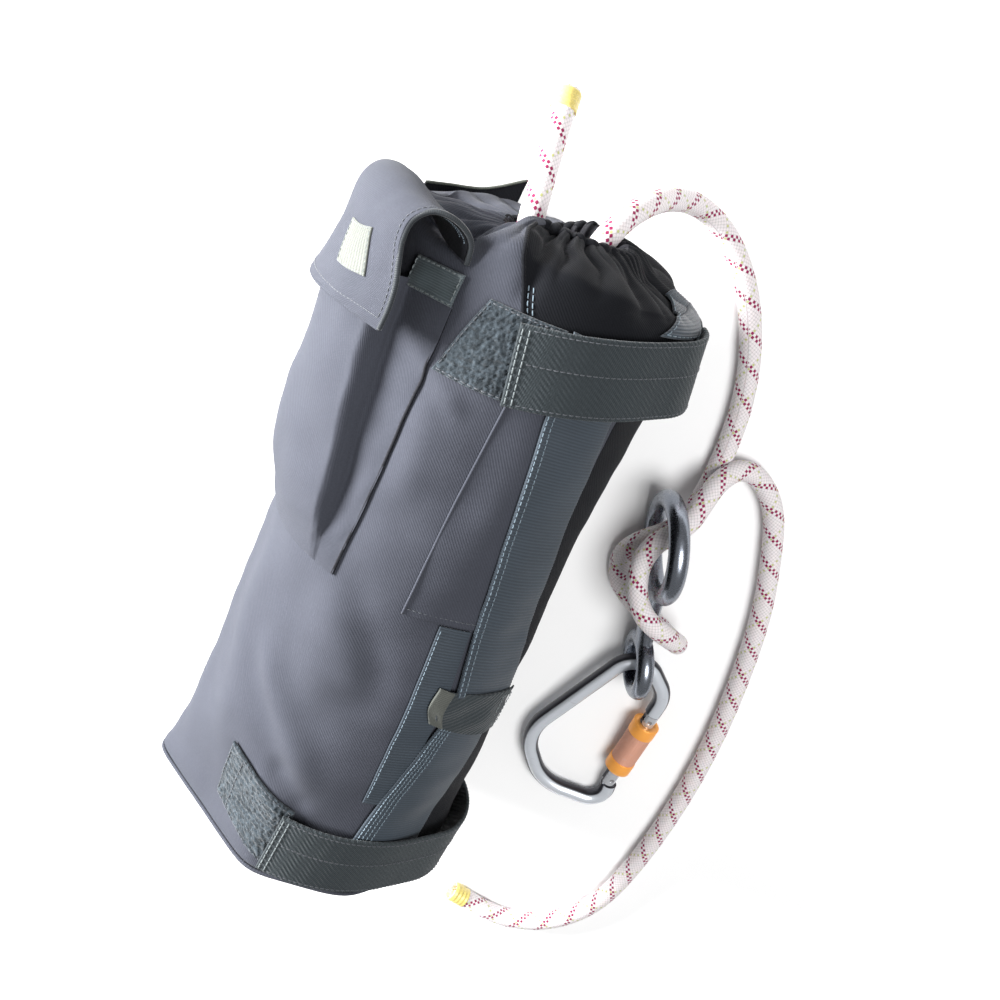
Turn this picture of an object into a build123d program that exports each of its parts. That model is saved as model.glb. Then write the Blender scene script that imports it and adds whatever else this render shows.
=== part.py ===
from build123d import *
import math
import os

# Rope storage bag lying on its side on the ground, with its rope, descender and carabiner.
# Millimetres, +Z up. The bag's axis runs along Y, its gathered neck at +Y, its front pocket at -X.
# Angles round the bag are degrees from straight up (+Z) towards +X.

# ---- placing -------------------------------------------------------------------------------------
AXIS_X = 6.78          # the bag's axis, from the origin under the middle of the bag
AXIS_Y = -4.0          # middle of the bag's length, from the origin
AXIS_Z = 77.0          # height of the axis: a little under the radius, so the bag lies on a flat

# ---- bag -----------------------------------------------------------------------------------------
BODY_R = 79.0          # outside radius of the fabric sleeve
CLOTH = 2.0            # thickness of a fabric wall with its lining
GAP = 0.3              # between layers laid over each other
LAYER = 1.5            # thickness of one layer of webbing or panel
BOTTOM_Y = -180.0
SLEEVE_TOP_Y = 160.0
RIM_Y = 181.0           # where the gathered fabric ends; the rim casing lies on it
MOUTH_R = 27.0         # radius of the gathered mouth
MOUTH_Z = 5.0          # the mouth sits this far above the bag's axis

LAYER_1 = BODY_R + GAP             # first layer on the sleeve
LAYER_2 = LAYER_1 + LAYER + GAP    # second layer
LAYER_3 = LAYER_2 + LAYER + GAP    # third layer

# ---- pocket and flap -----------------------------------------------------------------------------
POCKET_FROM, POCKET_TO = -124.0, -30.0
POCKET_BOTTOM_Y, POCKET_MOUTH_Y = 4.0, 148.0
POCKET_R = 97.0
FLAP_FROM, FLAP_TO = -117.0, -38.0
FLAP_ROOT_Y, FLAP_EDGE_Y = 174.0, 118.0
FLAP_R = 101.5         # inside radius of the flap where it lies over the pocket
TAPE = 1.2             # thickness of hook or loop tape

# ---- leg straps ----------------------------------------------------------------------------------
STRAP_WIDTH = 38.0
STRAP_THICK = 2.0
STRAP_LEAVES = 40.0    # angle where a strap leaves the bag's curve
# middle, tilt, angle where the end lies, inside radius over the bag, straight stretch beside the bag,
# radius of the bend back to its sewn root, how far that bend turns, angle where the sewn root starts
UPPER_STRAP = {"y": 140.0, "tilt": 11.0, "start": -6.0, "r_in": 84.8, "straight": 18.0,
               "bend_r": 38.0, "turn": 55.0, "root": 79.0}
LOWER_STRAP = {"y": -151.0, "tilt": -3.0, "start": -10.0, "r_in": 84.2, "straight": 25.0,
               "bend_r": 45.0, "turn": 76.0, "root": 97.0}

# ---- rope and hardware ---------------------------------------------------------------------------
ROPE_D = 12.5
ROPE_TAPE_T = 0.4      # end tape over the rope
COIL_R, COIL_CORE_R = 70.0, 9.0
COIL_FROM, COIL_TO = -174.0, 118.0
RING_R, RING_BAR = 28.0, 6.0           # big ring of the descender: centre line radius, bar radius
EYE_R, EYE_BAR = 17.0, 5.5             # small ring
RING_TO_EYE = 88.0
RING_AT = (138.0, 36.0)                # plan of the big ring's centre, from the bag's middle
DESCENDER_HEADING = (0.302, -0.953)
DESCENDER_LEAN = -6.0
ROD_R = 5.3                            # carabiner rod
GATE_R, SLEEVE_R = 4.8, 8.9
SWING_AT = (167.0, -60.0)              # middle of the carabiner's small end
HINGE_AT = (194.5, -141.0)
NOSE_AT = (193.5, -86.0)
CARABINER_LOW_Z, CARABINER_TILT = 5.7, 5.6
CARABINER_LOW_Y = -166.0
PIN_R = 1.5


def from_bag_middle(solid):
    return Location((AXIS_X, AXIS_Y, 0)) * solid


def on_bag_axis(solid):
    return Location((AXIS_X, AXIS_Y, AXIS_Z)) * solid


def radial_plane(angle):
    a = math.radians(angle)
    outward = (math.sin(a), 0, math.cos(a))
    return Plane(origin=(0, 0, 0), x_dir=outward, z_dir=(-math.cos(a), 0, math.sin(a)))


def tangent_plane(angle):
    a = math.radians(angle)
    outward = (math.sin(a), 0, math.cos(a))
    return Plane(origin=(0, 0, 0), x_dir=(math.cos(a), 0, -math.sin(a)), z_dir=outward)


def turned(outline, start, end):
    """A face drawn as (radius, y), turned round the bag's axis from one angle to another."""
    return revolve(radial_plane(start) * make_face(outline), Axis.Y, end - start)


def band(r_in, r_out, y0, y1, start, end):
    """A rectangle of cloth of even thickness, wrapped round the bag."""
    return turned(Polyline((r_in, y0), (r_out, y0), (r_out, y1), (r_in, y1), close=True), start, end)


def wrapped(r_in, thick, middle, corners):
    """A patch with slanted edges: corners are (across, y) in the plane that touches the bag at middle."""
    r_out = r_in + thick
    prism = extrude(tangent_plane(middle) * make_face(Polyline(*corners, close=True)), r_out + 20)
    y0 = min(c[1] for c in corners) - 1
    y1 = max(c[1] for c in corners) + 1
    ring = band(r_in, r_out, y0, y1, 0, 360)
    return prism & ring


def above(z, solid):
    """The part of a solid that is above a height, measured from the bag's axis."""
    return solid & Pos(0, 0, z + 200) * Box(600, 900, 400)


# ---- bag body ------------------------------------------------------------------------------------
def sleeve():
    outer = band(0, BODY_R, BOTTOM_Y + CLOTH, SLEEVE_TOP_Y, 0, 360)
    inner = band(0, BODY_R - CLOTH, BOTTOM_Y + CLOTH, SLEEVE_TOP_Y, 0, 360)
    return above(-AXIS_Z, outer) - above(CLOTH - AXIS_Z, inner)


def base_panel():
    return above(-AXIS_Z, band(0, BODY_R, BOTTOM_Y, BOTTOM_Y + CLOTH, 0, 360))


def collar_form(inset):
    """Solid of the gathered neck, drawn in by inset, from a circle at the sleeve to one at the mouth."""
    rings = [
        (BODY_R, SLEEVE_TOP_Y, 0.0),
        (BODY_R, SLEEVE_TOP_Y + 5, 0.0),
        (BODY_R - 4, SLEEVE_TOP_Y + 12, 0.5),
        (BODY_R - 15, SLEEVE_TOP_Y + 17.5, 2.0),
        (MOUTH_R + 18, SLEEVE_TOP_Y + 20, 4.0),
        (MOUTH_R + CLOTH, RIM_Y, MOUTH_Z),
    ]
    faces = [Plane(origin=(0, y, lift), z_dir=(0, 1, 0)) * Circle(r - inset) for r, y, lift in rings]
    return loft(faces, ruled=True)


def collar():
    outer = above(-AXIS_Z, collar_form(0))
    inner = above(CLOTH - AXIS_Z, collar_form(CLOTH))
    return outer - inner


CASING_RING_R, CASING_R = MOUTH_R + 3.8, 3.4
MOUTH = Plane(origin=(0, RIM_Y + CASING_R, MOUTH_Z), z_dir=(0, 1, 0))


def rim_casing():
    return MOUTH * (Torus(CASING_RING_R, CASING_R) - Torus(CASING_RING_R, CASING_R - 1))


def drawcord():
    return MOUTH * Torus(CASING_RING_R, TAIL_R)


# ---- cord lock, tucked inside the mouth ----------------------------------------------------------
LOCK_AT = Location((0, 168, -15))
LOCK_R, LOCK_HALF = 8.0, 8.0
LOCK_FLOOR = 2.0                       # thickness under the spring
TAIL_R, TAIL_APART = 1.5, 1.8
TAIL_SLACK = 0.8                       # how much wider than the two tails the windows are
PLUNGER_R, PLUNGER_TRAVEL = 5.0, 3.5
PLUNGER_LOW, PLUNGER_LENGTH = -2.0, 15.0
BUTTON_R, BUTTON_TALL = 6.5, 3.0
KNOT_R, KNOT_Y = 2.4, 148.0


def tail_window(extra):
    return Box(2 * (TAIL_APART + TAIL_R) + TAIL_SLACK, 40, 2 * TAIL_R + TAIL_SLACK + extra)


def lock_barrel():
    barrel = Cylinder(LOCK_R, 2 * LOCK_HALF)
    well = Pos(0, 0, LOCK_FLOOR) * Cylinder(PLUNGER_R + GAP, 2 * LOCK_HALF)
    return LOCK_AT * (barrel - well - tail_window(0))


def lock_plunger():
    stem = Pos(0, 0, PLUNGER_LOW + PLUNGER_LENGTH / 2) * Cylinder(PLUNGER_R, PLUNGER_LENGTH)
    button = Pos(0, 0, PLUNGER_LOW + PLUNGER_LENGTH + 1) * Cylinder(BUTTON_R, BUTTON_TALL)
    window = Pos(0, 0, PLUNGER_TRAVEL) * tail_window(2 * PLUNGER_TRAVEL)
    return LOCK_AT * (stem - window + button)


def coil_spring(radius, wire, turns, length):
    """A wound spring that stands on its origin, with its wire's middle at radius."""
    path = Helix(pitch=(length - 2 * wire) / turns, height=length - 2 * wire, radius=radius)
    spring = sweep(Plane(origin=path @ 0, z_dir=path % 0) * Circle(wire), path=path, is_frenet=True)
    return Pos(0, 0, wire) * spring


def lock_spring():
    room = PLUNGER_LOW - (LOCK_FLOOR - LOCK_HALF)
    spring = coil_spring(radius=3.0, wire=0.4, turns=2.5, length=room - 0.6)
    return LOCK_AT * Pos(0, 0, LOCK_FLOOR - LOCK_HALF + 0.1) * spring


def drawcord_tails():
    """Two cord ends that come in from the rim through the lock, each with a knot."""
    length = RIM_Y + 0.5 - KNOT_Y - 1.5
    from_rim = (Align.CENTER, Align.CENTER, Align.MIN)
    tails = []
    for side in (-1, 1):
        rim_end = Plane(origin=(side * TAIL_APART, RIM_Y + 0.5, -15), z_dir=(0, -1, 0))
        knot = Pos(side * (TAIL_APART + 0.8), KNOT_Y, -15) * Sphere(KNOT_R)
        tails.append(rim_end * Cylinder(TAIL_R, length, align=from_rim) + knot)
    return Compound(children=tails)


# ---- front pocket --------------------------------------------------------------------------------
def pocket_outline(inset, top):
    low = POCKET_BOTTOM_Y + inset
    wall = LAYER_1 + (CLOTH if inset else 0)
    front_r = POCKET_R - inset
    front = Spline((wall + 3, low), (front_r - 8, 26), (front_r - 2.5, 62),
                   (front_r - 0.3, 105), (front_r, top))
    return Curve() + [Line((wall, low), (wall + 3, low)), front,
                      Line((front_r, top), (wall, top)), Line((wall, top), (wall, low))]


def front_pocket():
    outside = turned(pocket_outline(0, POCKET_MOUTH_Y), POCKET_FROM, POCKET_TO)
    hollow = turned(pocket_outline(CLOTH, POCKET_MOUTH_Y + 1), POCKET_FROM + 1.4, POCKET_TO - 1.4)
    return outside - hollow


def pocket_loop_tape():
    return band(POCKET_R + 0.9, POCKET_R + 0.9 + TAPE, 124, 142, -110, -46)


def pocket_flap():
    at_root = (80.6, FLAP_ROOT_Y)
    over_mouth = [(90, 175.5), (98, 170)]
    hanging = [(FLAP_R + 0.8, 158), (FLAP_R + 1, 140), (FLAP_R, FLAP_EDGE_Y)]
    inner = Spline(at_root, *over_mouth, *hanging)
    above_mouth = [(r + CLOTH, y + CLOTH) for r, y in over_mouth]
    outside = [(r + CLOTH, y) for r, y in hanging]
    outer = Spline((at_root[0], at_root[1] + CLOTH), *above_mouth, *outside)
    ends = [Line(inner @ 0, outer @ 0), Line(inner @ 1, outer @ 1)]
    return turned(Curve() + [inner, outer] + ends, FLAP_FROM, FLAP_TO)


def flap_hook_tape():
    return band(FLAP_R - GAP - TAPE, FLAP_R - GAP, 124, 142, -108, -48)


def label_patch():
    return band(FLAP_R + CLOTH + 1.3, FLAP_R + CLOTH + 2.5, 134, 158, -84, -68)


def pocket_tab():
    return wrapped(LAYER_1, LAYER, -40, [(-13, 150), (13, 153), (12, 168), (-13, 165)])


# ---- panels and webbing --------------------------------------------------------------------------
def side_panel():
    return band(LAYER_1, LAYER_1 + LAYER, 2, 160, -1.5, 44.5)


def back_panel():
    return band(LAYER_1, LAYER_1 + LAYER, BOTTOM_Y + 1, 161, 45, 160)


def narrow_webbing():
    return wrapped(LAYER_1, LAYER, 20, [(-11, 1.4), (13, 1.4), (18, -112), (-8, -112)])


def wide_webbing():
    return wrapped(LAYER_2, LAYER, 35, [(-34, 157), (7, 160), (41, -44), (0, -44)])


def lower_webbing():
    return wrapped(LAYER_2, LAYER, 40, [(-13, -46), (30, -62), (18, -166), (-26, -158)])


def webbing_keeper():
    return wrapped(LAYER_3, LAYER, 46, [(-33, -30), (33, -42), (31, -68), (-26, -54)])


def belt_flap():
    corners = [(-26, 112), (17, 112), (17, 151), (29, 153), (30, 171), (-26, 188)]
    return wrapped(LAYER_1, LAYER, -140, corners)


# ---- leg straps ----------------------------------------------------------------------------------
def polar(radius, angle, centre=(0.0, 0.0)):
    a = math.radians(angle)
    return (centre[0] + radius * math.sin(a), centre[1] + radius * math.cos(a))


def strap_bend_centre(strap):
    run = math.radians(STRAP_LEAVES)
    x, z = polar(strap["r_in"] + STRAP_THICK / 2 - strap["bend_r"], STRAP_LEAVES)
    return (x + strap["straight"] * math.cos(run), z - strap["straight"] * math.sin(run))


def strap_outline(strap):
    """Side view of a strap in the plane across the bag: over the bag, out past its side and back."""
    centre = strap_bend_centre(strap)
    leaves, ends_at = STRAP_LEAVES, STRAP_LEAVES + strap["turn"]
    edges, free_end, root_end = [], [], []
    for r_bag, r_bend in ((strap["r_in"], strap["bend_r"] - STRAP_THICK / 2),
                          (strap["r_in"] + STRAP_THICK, strap["bend_r"] + STRAP_THICK / 2)):
        over = ThreePointArc(polar(r_bag, strap["start"]), polar(r_bag, (strap["start"] + leaves) / 2),
                             polar(r_bag, leaves))
        bend = ThreePointArc(polar(r_bend, leaves, centre), polar(r_bend, (leaves + ends_at) / 2, centre),
                             polar(r_bend, ends_at, centre))
        edges += [over, Line(over @ 1, bend @ 0), bend]
        free_end.append(over @ 0)
        root_end.append(bend @ 1)
    return Curve() + edges + [Line(*free_end), Line(*root_end)]


ACROSS = Plane(origin=(0, 0, 0), x_dir=(1, 0, 0), z_dir=(0, -1, 0))


def leg_strap(strap):
    solid = extrude(ACROSS * make_face(strap_outline(strap)), STRAP_WIDTH / 2, both=True)
    return Location((0, strap["y"], 0), (0, 0, strap["tilt"])) * solid


def strap_hook_tape(strap):
    half = STRAP_WIDTH / 2 - 2
    tape = band(LAYER_2 + TAPE + 0.8, strap["r_in"], -half, half, strap["start"] + 1, strap["start"] + 13)
    return Location((0, strap["y"], 0), (0, 0, strap["tilt"])) * tape


def strap_anchor(strap):
    """The sewn root of a leg strap, flat on the back panel."""
    y_here = strap["y"] + 80 * math.tan(math.radians(strap["tilt"]))
    return band(LAYER_2, LAYER_2 + LAYER, y_here - STRAP_WIDTH / 2, y_here + STRAP_WIDTH / 2,
                strap["root"], strap["root"] + 19)


def upper_loop_patch():
    return wrapped(LAYER_2, TAPE, 0, [(-29, 158), (8, 160), (8, 122), (-27, 120)])


def lower_loop_patch():
    return wrapped(LAYER_1, TAPE + LAYER, -18, [(-37, -116), (18, -131), (18, -169), (-40, -155)])


# ---- rope ----------------------------------------------------------------------------------------
SHORT_END_ROUTE = [
    (-12, 118, 80), (-12, 142, 80), (-15, 166, 82), (-18, 185, 79), (-20, 203, 69), (-22, 222, 57),
    (-23, 240, 44),
]
LEAD_ROUTE = [
    # out of the neck and down to the ground
    (12, 118, 78), (12, 142, 78), (15, 165, 81), (17.5, 186, 79), (25, 200, 66), (37, 210, 48),
    (50, 214, 29), (67, 215, 12), (90, 207, 6.3), (115, 185, 6.3), (134, 155, 6.3), (145, 126, 6.3),
    # under the descender's big ring, round its stem and back over itself
    (150, 99, 6.3), (152, 77, 6.3), (150.5, 61, 11), (145, 48, 19.5), (137.2, 38.5, 21.4),
    (128, 26.5, 17), (124.6, 11, 8), (130, -4, 6.3), (140, -13, 6.3), (153, -19, 6.5), (167, -24.5, 7),
    (179, -28, 14), (179.5, -23, 27), (168, -15.5, 39), (155.7, -9.8, 46.5), (142, -3.6, 48),
    (132.5, 7, 44), (127.7, 22, 39), (130.4, 36.5, 36), (138.2, 45.5, 34.5), (144.5, 56, 32),
    (147, 68, 27), (151, 80, 19.5), (160.5, 90, 11),
    # the tail, lying on the ground
    (176, 90, 6.5), (196, 74, 6.3), (210, 45, 6.3), (224, 10, 6.3), (235, -36, 6.3), (243.5, -88, 6.3),
    (247, -142, 6.3), (245, -198, 6.3), (237, -246, 6.3), (214, -275, 6.3), (184, -286, 6.3),
    (160, -283, 6.7), (137, -277, 6.9),
]


def bend_radii(points):
    radii = []
    for before, here, after in zip(points, points[1:], points[2:]):
        run_in = Vector(*here) - Vector(*before)
        run_out = Vector(*after) - Vector(*here)
        half_turn = math.radians(run_in.get_angle(run_out)) / 2
        radii.append(0.45 * min(run_in.length, run_out.length) / math.tan(half_turn))
    return radii


def tube_along(points, radius):
    path = FilletPolyline(*points, radius=bend_radii(points))
    tube = sweep(Plane(origin=path @ 0, z_dir=path % 0) * Circle(radius), path=path)
    error = tube.volume / (math.pi * radius**2 * path.length) - 1
    print("cord length", round(path.length, 1), "volume error", round(error, 5),
          "radii", [round(r) for r in bend_radii(points)])
    return tube


def stored_rope():
    return band(COIL_CORE_R, COIL_R, COIL_FROM, COIL_TO, 0, 360)


def end_tape(points, length):
    tip, inside = Vector(*points[-1]), Vector(*points[-2])
    along = (tip - inside).normalized()
    from_base = (Align.CENTER, Align.CENTER, Align.MIN)
    sleeve_form = Cylinder(ROPE_D / 2 + ROPE_TAPE_T, length + ROPE_TAPE_T, align=from_base)
    bore = Cylinder(ROPE_D / 2, length, align=from_base)
    start = tip - along * length
    return Plane(origin=start, z_dir=along) * (sleeve_form - bore)


# ---- figure-of-eight descender -------------------------------------------------------------------
def descender():
    ring = Rot(90, 0, 0) * Torus(RING_R, RING_BAR)
    eye = Pos(RING_TO_EYE, 0, 0) * Rot(90, 0, 0) * Torus(EYE_R, EYE_BAR)
    stem_plane = Plane(origin=(RING_R, 0, 0), x_dir=(0, 0, 1), z_dir=(1, 0, 0))
    stem_end = Plane(origin=(RING_TO_EYE - EYE_R, 0, 0), x_dir=(0, 0, 1), z_dir=(1, 0, 0))
    stem_waist = Plane(origin=(52, 0, 0), x_dir=(0, 0, 1), z_dir=(1, 0, 0))
    stem = loft([stem_plane * Ellipse(14, 5.7), stem_waist * Ellipse(8, 5.7), stem_end * Ellipse(9.5, 5.2)])
    body = ring + eye + stem - Rot(90, 0, 0) * Cylinder(RING_R - RING_BAR, 40)
    body = body - Pos(RING_TO_EYE, 0, 0) * Rot(90, 0, 0) * Cylinder(EYE_R - EYE_BAR, 40)
    ring_height = RING_R * math.cos(math.radians(DESCENDER_LEAN)) + RING_BAR
    eye_height = EYE_R * math.cos(math.radians(DESCENDER_LEAN)) + EYE_BAR
    drop = math.degrees(math.asin((ring_height - eye_height) / RING_TO_EYE))
    heading = math.degrees(math.atan2(DESCENDER_HEADING[1], DESCENDER_HEADING[0]))
    standing = Rot(0, 0, heading) * Rot(0, drop, 0) * Rot(DESCENDER_LEAN, 0, 0) * body
    return Location((RING_AT[0], RING_AT[1], ring_height + 0.1)) * standing


# ---- carabiner, drawn flat in plan and then tilted -----------------------------------------------
ROD_LINE = [(193.5, -81), (193.5, -64.6), (163.3, -37.5), (126.5, -131), (153, -164.8), (198.5, -164.8),
            (195.5, -147)]
ROD_BENDS = [20, 15, 31, 34, 12]


def tilted(solid):
    """From the flat drawing to the lying carabiner, whose small end rests in the descender's eye."""
    lying = Location((0, CARABINER_LOW_Y, CARABINER_LOW_Z)) * Rot(CARABINER_TILT, 0, 0)
    return lying * Pos(0, -CARABINER_LOW_Y, 0) * solid


def carabiner_frame():
    path = FilletPolyline(*[(x, y, 0) for x, y in ROD_LINE], radius=ROD_BENDS)
    rod = sweep(Plane(origin=path @ 0, z_dir=path % 0) * Circle(ROD_R), path=path)
    nose = Pos(NOSE_AT[0], NOSE_AT[1] + 1.3, 0) * Box(7.4, 8.4, 4.0)
    pin_seat = Cylinder(PIN_R + 0.3, 10) + Pos(-5, 0, 0) * Box(10, 2 * PIN_R + 0.6, 10)
    notch = Pos(NOSE_AT[0], NOSE_AT[1], 0) * pin_seat
    tongue = Pos(HINGE_AT[0], HINGE_AT[1] - 1.5, 0) * Box(7.6, 11, 4.0)
    pin_hole = Pos(*HINGE_AT, 0) * Cylinder(PIN_R + 0.06, 20)
    return tilted(rod + nose - notch + tongue - pin_hole)


GATE_NOSE_Y, GATE_HINGE_Y = -81.6, -145.6
GATE_X = HINGE_AT[0] - 0.5             # middle of the gate, beside its hinge pin
GATE_SLOT = 4.7                        # slots in the gate over the frame's tongue and nose
GATE_BORE_R = 2.0                      # holds the gate's spring and its plunger
SLEEVE_Y, SLEEVE_LENGTH = -132.0, 42.0
SLEEVE_BAND, SLEEVE_STEP = 9.0, 0.5    # smooth bands at the ends stand over the knurled middle
CHAMBER_R, CHAMBER_FROM, CHAMBER_LONG = 7.0, 8.0, 20.0
FROM_BASE = (Align.CENTER, Align.CENTER, Align.MIN)


def along_gate(y, solid):
    """Something that stands on its origin, laid along the gate from y towards the nose."""
    return Plane(origin=(GATE_X, y, 0), z_dir=(0, 1, 0)) * solid


def carabiner_gate():
    bar = along_gate(GATE_HINGE_Y, Cylinder(GATE_R, GATE_NOSE_Y - GATE_HINGE_Y, align=FROM_BASE))
    hinge_slot = Pos(HINGE_AT[0], HINGE_AT[1] - 1, 0) * Box(20, 14, GATE_SLOT)
    nose_slot = Pos(NOSE_AT[0], NOSE_AT[1] + 1.5, 0) * Box(20, 11, GATE_SLOT)
    spring_bore = along_gate(-134.5, Cylinder(GATE_BORE_R, 17, align=FROM_BASE))
    pins = Pos(*HINGE_AT, 0) * Cylinder(PIN_R, 30) + Pos(*NOSE_AT, 0) * Cylinder(PIN_R, 30)
    return tilted(bar - hinge_slot - nose_slot - spring_bore - pins)


def gate_pin(at):
    return tilted(Pos(*at, 0) * Cylinder(PIN_R, 2 * GATE_R - 1.2))


def gate_spring():
    return tilted(along_gate(-129.5, coil_spring(radius=1.3, wire=0.3, turns=5, length=11)))


def gate_plunger():
    return tilted(along_gate(-134.2, Cylinder(GATE_BORE_R - 0.2, 3.6, align=FROM_BASE)))


def locking_sleeve():
    grip = Cylinder(SLEEVE_R - SLEEVE_STEP, SLEEVE_LENGTH, align=FROM_BASE)
    low_band = Cylinder(SLEEVE_R, SLEEVE_BAND, align=FROM_BASE)
    high_band = Pos(0, 0, SLEEVE_LENGTH - SLEEVE_BAND) * low_band
    bore = Cylinder(GATE_R + 0.06, SLEEVE_LENGTH, align=FROM_BASE)
    chamber = Pos(0, 0, CHAMBER_FROM) * Cylinder(CHAMBER_R, CHAMBER_LONG, align=FROM_BASE)
    return tilted(along_gate(SLEEVE_Y, grip + low_band + high_band - bore - chamber))


def sleeve_spring():
    return tilted(along_gate(SLEEVE_Y + 9.5, coil_spring(radius=5.9, wire=0.45, turns=6, length=16)))


def write(nodes):
    os.makedirs("parts", exist_ok=True)
    for name, solid in nodes.items():
        export_step(solid, f"parts/{name}.step")


def main():
    bag = {
        "bag_sleeve": sleeve(),
        "base_panel": base_panel(),
        "collar": collar(),
        "rim_casing": rim_casing(),
        "drawcord": drawcord(),
        "drawcord_tails": drawcord_tails(),
        "cord_lock_barrel": lock_barrel(),
        "cord_lock_plunger": lock_plunger(),
        "cord_lock_spring": lock_spring(),
        "front_pocket": front_pocket(),
        "pocket_loop_tape": pocket_loop_tape(),
        "pocket_flap": pocket_flap(),
        "flap_hook_tape": flap_hook_tape(),
        "label_patch": label_patch(),
        "pocket_tab": pocket_tab(),
        "side_panel": side_panel(),
        "back_panel": back_panel(),
        "narrow_webbing": narrow_webbing(),
        "wide_webbing": wide_webbing(),
        "lower_webbing": lower_webbing(),
        "webbing_keeper": webbing_keeper(),
        "belt_flap": belt_flap(),
        "upper_loop_patch": upper_loop_patch(),
        "upper_leg_strap": leg_strap(UPPER_STRAP),
        "upper_hook_tape": strap_hook_tape(UPPER_STRAP),
        "upper_strap_anchor": strap_anchor(UPPER_STRAP),
        "lower_loop_patch": lower_loop_patch(),
        "lower_leg_strap": leg_strap(LOWER_STRAP),
        "lower_hook_tape": strap_hook_tape(LOWER_STRAP),
        "lower_strap_anchor": strap_anchor(LOWER_STRAP),
        "stored_rope": stored_rope(),
    }
    lying = {
        "rope_short_end": tube_along(SHORT_END_ROUTE, ROPE_D / 2),
        "rope_lead": tube_along(LEAD_ROUTE, ROPE_D / 2),
        "short_end_tape": end_tape(SHORT_END_ROUTE, 12),
        "tail_end_tape": end_tape(LEAD_ROUTE, 13),
        "figure8_descender": descender(),
        "carabiner_frame": carabiner_frame(),
        "carabiner_gate": carabiner_gate(),
        "gate_hinge_pin": gate_pin(HINGE_AT),
        "gate_nose_pin": gate_pin(NOSE_AT),
        "gate_spring": gate_spring(),
        "gate_plunger": gate_plunger(),
        "locking_sleeve": locking_sleeve(),
        "sleeve_spring": sleeve_spring(),
    }
    nodes = {name: on_bag_axis(solid) for name, solid in bag.items()}
    nodes.update({name: from_bag_middle(solid) for name, solid in lying.items()})
    write(nodes)


if __name__ == "__main__":
    main()
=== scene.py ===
import math

import bpy
import numpy as np
from mathutils import Matrix, Vector


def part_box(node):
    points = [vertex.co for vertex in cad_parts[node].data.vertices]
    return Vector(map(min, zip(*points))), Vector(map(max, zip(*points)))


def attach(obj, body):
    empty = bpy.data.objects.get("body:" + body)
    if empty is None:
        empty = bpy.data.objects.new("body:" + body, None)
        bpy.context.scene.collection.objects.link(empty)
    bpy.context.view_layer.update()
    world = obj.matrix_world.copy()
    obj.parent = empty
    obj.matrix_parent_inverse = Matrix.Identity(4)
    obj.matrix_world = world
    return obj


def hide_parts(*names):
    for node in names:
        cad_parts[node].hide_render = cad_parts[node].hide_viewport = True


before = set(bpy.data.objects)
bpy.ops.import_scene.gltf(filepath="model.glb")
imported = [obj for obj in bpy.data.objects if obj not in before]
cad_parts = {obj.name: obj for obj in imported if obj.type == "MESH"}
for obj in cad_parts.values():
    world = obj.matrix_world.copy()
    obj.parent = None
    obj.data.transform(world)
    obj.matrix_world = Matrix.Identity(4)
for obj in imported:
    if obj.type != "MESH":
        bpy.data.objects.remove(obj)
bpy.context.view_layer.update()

# The helpers work in millimetres from the bag's own axis, as the CAD part does: x across, y along the bag
# towards its neck, z up. Angles are degrees from straight up towards +x. metres() makes row-frame points.
MM = 0.001
COIL_LOW, COIL_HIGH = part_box("stored_rope")
COIL_BOTTOM_Y = -174.0
AXIS = np.array([
    (COIL_LOW.x + COIL_HIGH.x) / 2 / MM,
    COIL_LOW.y / MM - COIL_BOTTOM_Y,
    (COIL_LOW.z + COIL_HIGH.z) / 2 / MM,
])
FLOOR_GAP = 0.6          # cloth that lies on the floor stays this far above it


def metres(points):
    return (np.asarray(points, float) + AXIS) * MM


def add_object(name, data):
    made = bpy.data.objects.new(name, data)
    bpy.context.scene.collection.objects.link(made)
    return made


# ---- camera ----
CAMERA_AT = (-78.6, 281.9, 641.0)          # from the middle of the bag, height from the floor
CAMERA_RIGHT = Vector((0.9109, 0.4126, 0.0))
CAMERA_UP = Vector((-0.3739, 0.8256, -0.4226))
LENS = 42.4


def make_camera():
    data = bpy.data.cameras.new("camera")
    data.lens = LENS
    data.sensor_width = 36
    data.clip_start = 0.01
    camera = add_object("camera", data)
    back = CAMERA_RIGHT.cross(CAMERA_UP)
    camera.matrix_world = Matrix((CAMERA_RIGHT, CAMERA_UP, back)).transposed().to_4x4()
    x, y, z = CAMERA_AT
    camera.location = metres((x, y, z - AXIS[2]))
    bpy.context.scene.camera = camera


make_camera()


# ---- small tools ----
def smooth(low, high, x):
    t = np.clip((np.asarray(x, float) - low) / (high - low), 0, 1)
    return t * t * (3 - 2 * t)


def eased(x, *knots):
    """A curve through (x, value) knots that is level at each of them."""
    value = np.full(np.shape(x), float(knots[0][1]))
    for (x0, v0), (x1, v1) in zip(knots, knots[1:]):
        value = value + (v1 - v0) * smooth(x0, x1, x)
    return value


def wrapped(angle, low=-180):
    """The same direction as a number of degrees from low to low + 360."""
    return (np.asarray(angle, float) - low) % 360 + low


def matched(a, b, lift):
    return np.broadcast_arrays(np.asarray(a, float), np.asarray(b, float), lift)


def circle(count):
    return np.linspace(0, 2 * np.pi, count, endpoint=False)


def about_axis(angle, radius, y, middle=0):
    """Points at an angle in radians and a radius round a line that is middle above the bag's axis."""
    return np.stack([radius * np.sin(angle), y, middle + radius * np.cos(angle)], -1)


def bump(x, middle, half):
    return np.exp(-((np.asarray(x, float) - middle) / half) ** 2)


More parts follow.
